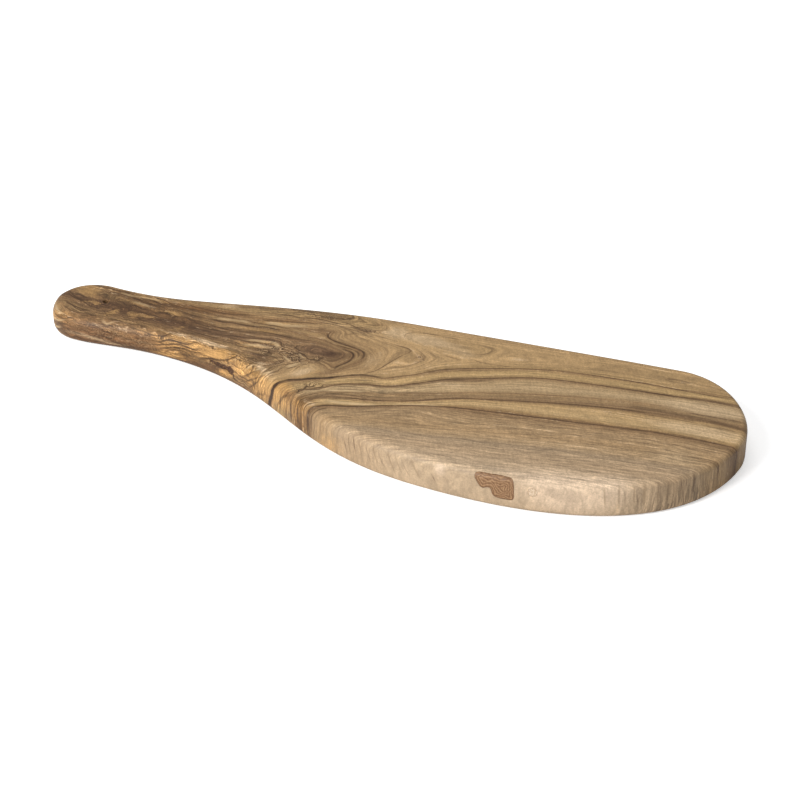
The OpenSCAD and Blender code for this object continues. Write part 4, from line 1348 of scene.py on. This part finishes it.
def build_inclusions():
    knot = inclusion("branch_knot", KNOT_X, KNOT_OUTLINE, KNOT_DEPTH, knot_relief, NET_STEP)
    put(knot, "edge_knot", knot_wood())
    pin = inclusion("small_knot", PIN_X, PIN_OUTLINE, PIN_DEPTH, pin_relief, NET_FINE)
    put(pin, "pin_knot", pale_knot_wood())
    seam = inclusion("ingrown_bark", BARK_X, BARK_OUTLINE, BARK_DEPTH, bark_relief, NET_FINE)
    put(seam, "bark_seam", bark())


# The stage, in metres but for the floor's half width

FLOOR_HALF = 4000
FLOOR_GREY = 0.88
# The floor's glow for the camera: from this strength near the board to white further out
GLOW_NEAR, GLOW_FAR, GLOW_LOW = 0.26, 0.60, 0.50
WORLD_FILL = 0.32
WHITE = (1, 1, 1, 1)
LAMPS = [("key", (-0.46, -1.26, 0.90), 0.7, 25.0), ("top", (-0.10, 0.10, 1.50), 1.0, 6.0)]
LAMP_TARGET = (0.02, -0.01, 0.0)
LENS, SENSOR = 85, 36
CAMERA_TARGET, CAMERA_AWAY = (0.025, -0.015, 0.009), 0.983
CAMERA_AZIMUTH, CAMERA_HEIGHT = math.radians(29), math.radians(30)


def build_floor():
    """Pale floor that keeps the shadow and reads as white to the camera."""
    a = FLOOR_HALF
    obj = new_object("floor", [(-a, -a, 0), (a, -a, 0), (a, a, 0), (-a, a, 0)], [[0, 1, 2, 3]])
    t = Tree("floor")
    plain = t.node("ShaderNodeBsdfDiffuse")
    plain.inputs["Color"].default_value = (FLOOR_GREY, FLOOR_GREY, FLOOR_GREY, 1)
    glow = t.node("ShaderNodeEmission")
    seen = t.node("ShaderNodeLightPath").outputs["Is Camera Ray"]
    apart = t.node("ShaderNodeVectorMath", operation="LENGTH")
    t.put(apart.inputs[0], t.place())
    light = t.span(apart.outputs["Value"], GLOW_NEAR, GLOW_FAR, GLOW_LOW, 1.0, smooth=True)
    t.put(glow.inputs["Strength"], t.times(seen, light))
    both = t.node("ShaderNodeAddShader")
    t.put(both.inputs[0], plain.outputs[0])
    t.put(both.inputs[1], glow.outputs[0])
    t.put(t.out.inputs["Surface"], both.outputs[0])
    obj.data.materials.append(t.material)


def build_world():
    """Soft light from all round, white to the camera."""
    world = bpy.data.worlds.new("studio")
    bpy.context.scene.world = world
    world.use_nodes = True
    tree = world.node_tree
    tree.nodes.clear()
    mixed = tree.nodes.new("ShaderNodeMixShader")
    path = tree.nodes.new("ShaderNodeLightPath")
    tree.links.new(path.outputs["Is Camera Ray"], mixed.inputs[0])
    for k, strength in ((1, WORLD_FILL), (2, 1.0)):
        light = tree.nodes.new("ShaderNodeBackground")
        light.inputs["Color"].default_value = WHITE
        light.inputs["Strength"].default_value = strength
        tree.links.new(light.outputs[0], mixed.inputs[k])
    out = tree.nodes.new("ShaderNodeOutputWorld")
    tree.links.new(mixed.outputs[0], out.inputs["Surface"])


def aim(obj, target):
    """Points a lamp or a camera at a place."""
    way = np.array(obj.location) - np.array(target)
    flat = math.hypot(way[0], way[1])
    obj.rotation_euler = (math.atan2(flat, way[2]), 0, math.atan2(way[0], -way[1]))


def build_lamp(name, place, size, power):
    data = bpy.data.lights.new(name, "AREA")
    data.shape = "SQUARE"
    data.size = size
    data.energy = power
    obj = linked(name, data)
    obj.location = place
    aim(obj, LAMP_TARGET)


def build_camera():
    data = bpy.data.cameras.new("camera")
    data.lens = LENS
    data.sensor_width = SENSOR
    data.clip_start = 0.01
    data.clip_end = 50
    obj = linked("camera", data)
    level = math.cos(CAMERA_HEIGHT)
    back = (math.sin(CAMERA_AZIMUTH) * level, -math.cos(CAMERA_AZIMUTH) * level, math.sin(CAMERA_HEIGHT))
    obj.location = np.array(CAMERA_TARGET) + np.array(back) * CAMERA_AWAY
    aim(obj, CAMERA_TARGET)
    bpy.context.scene.camera = obj


def build_stage():
    build_floor()
    build_world()
    for lamp in LAMPS:
        build_lamp(*lamp)
    build_camera()
    bpy.context.scene.view_settings.view_transform = "Standard"


build_plank()
build_inclusions()
build_stage()
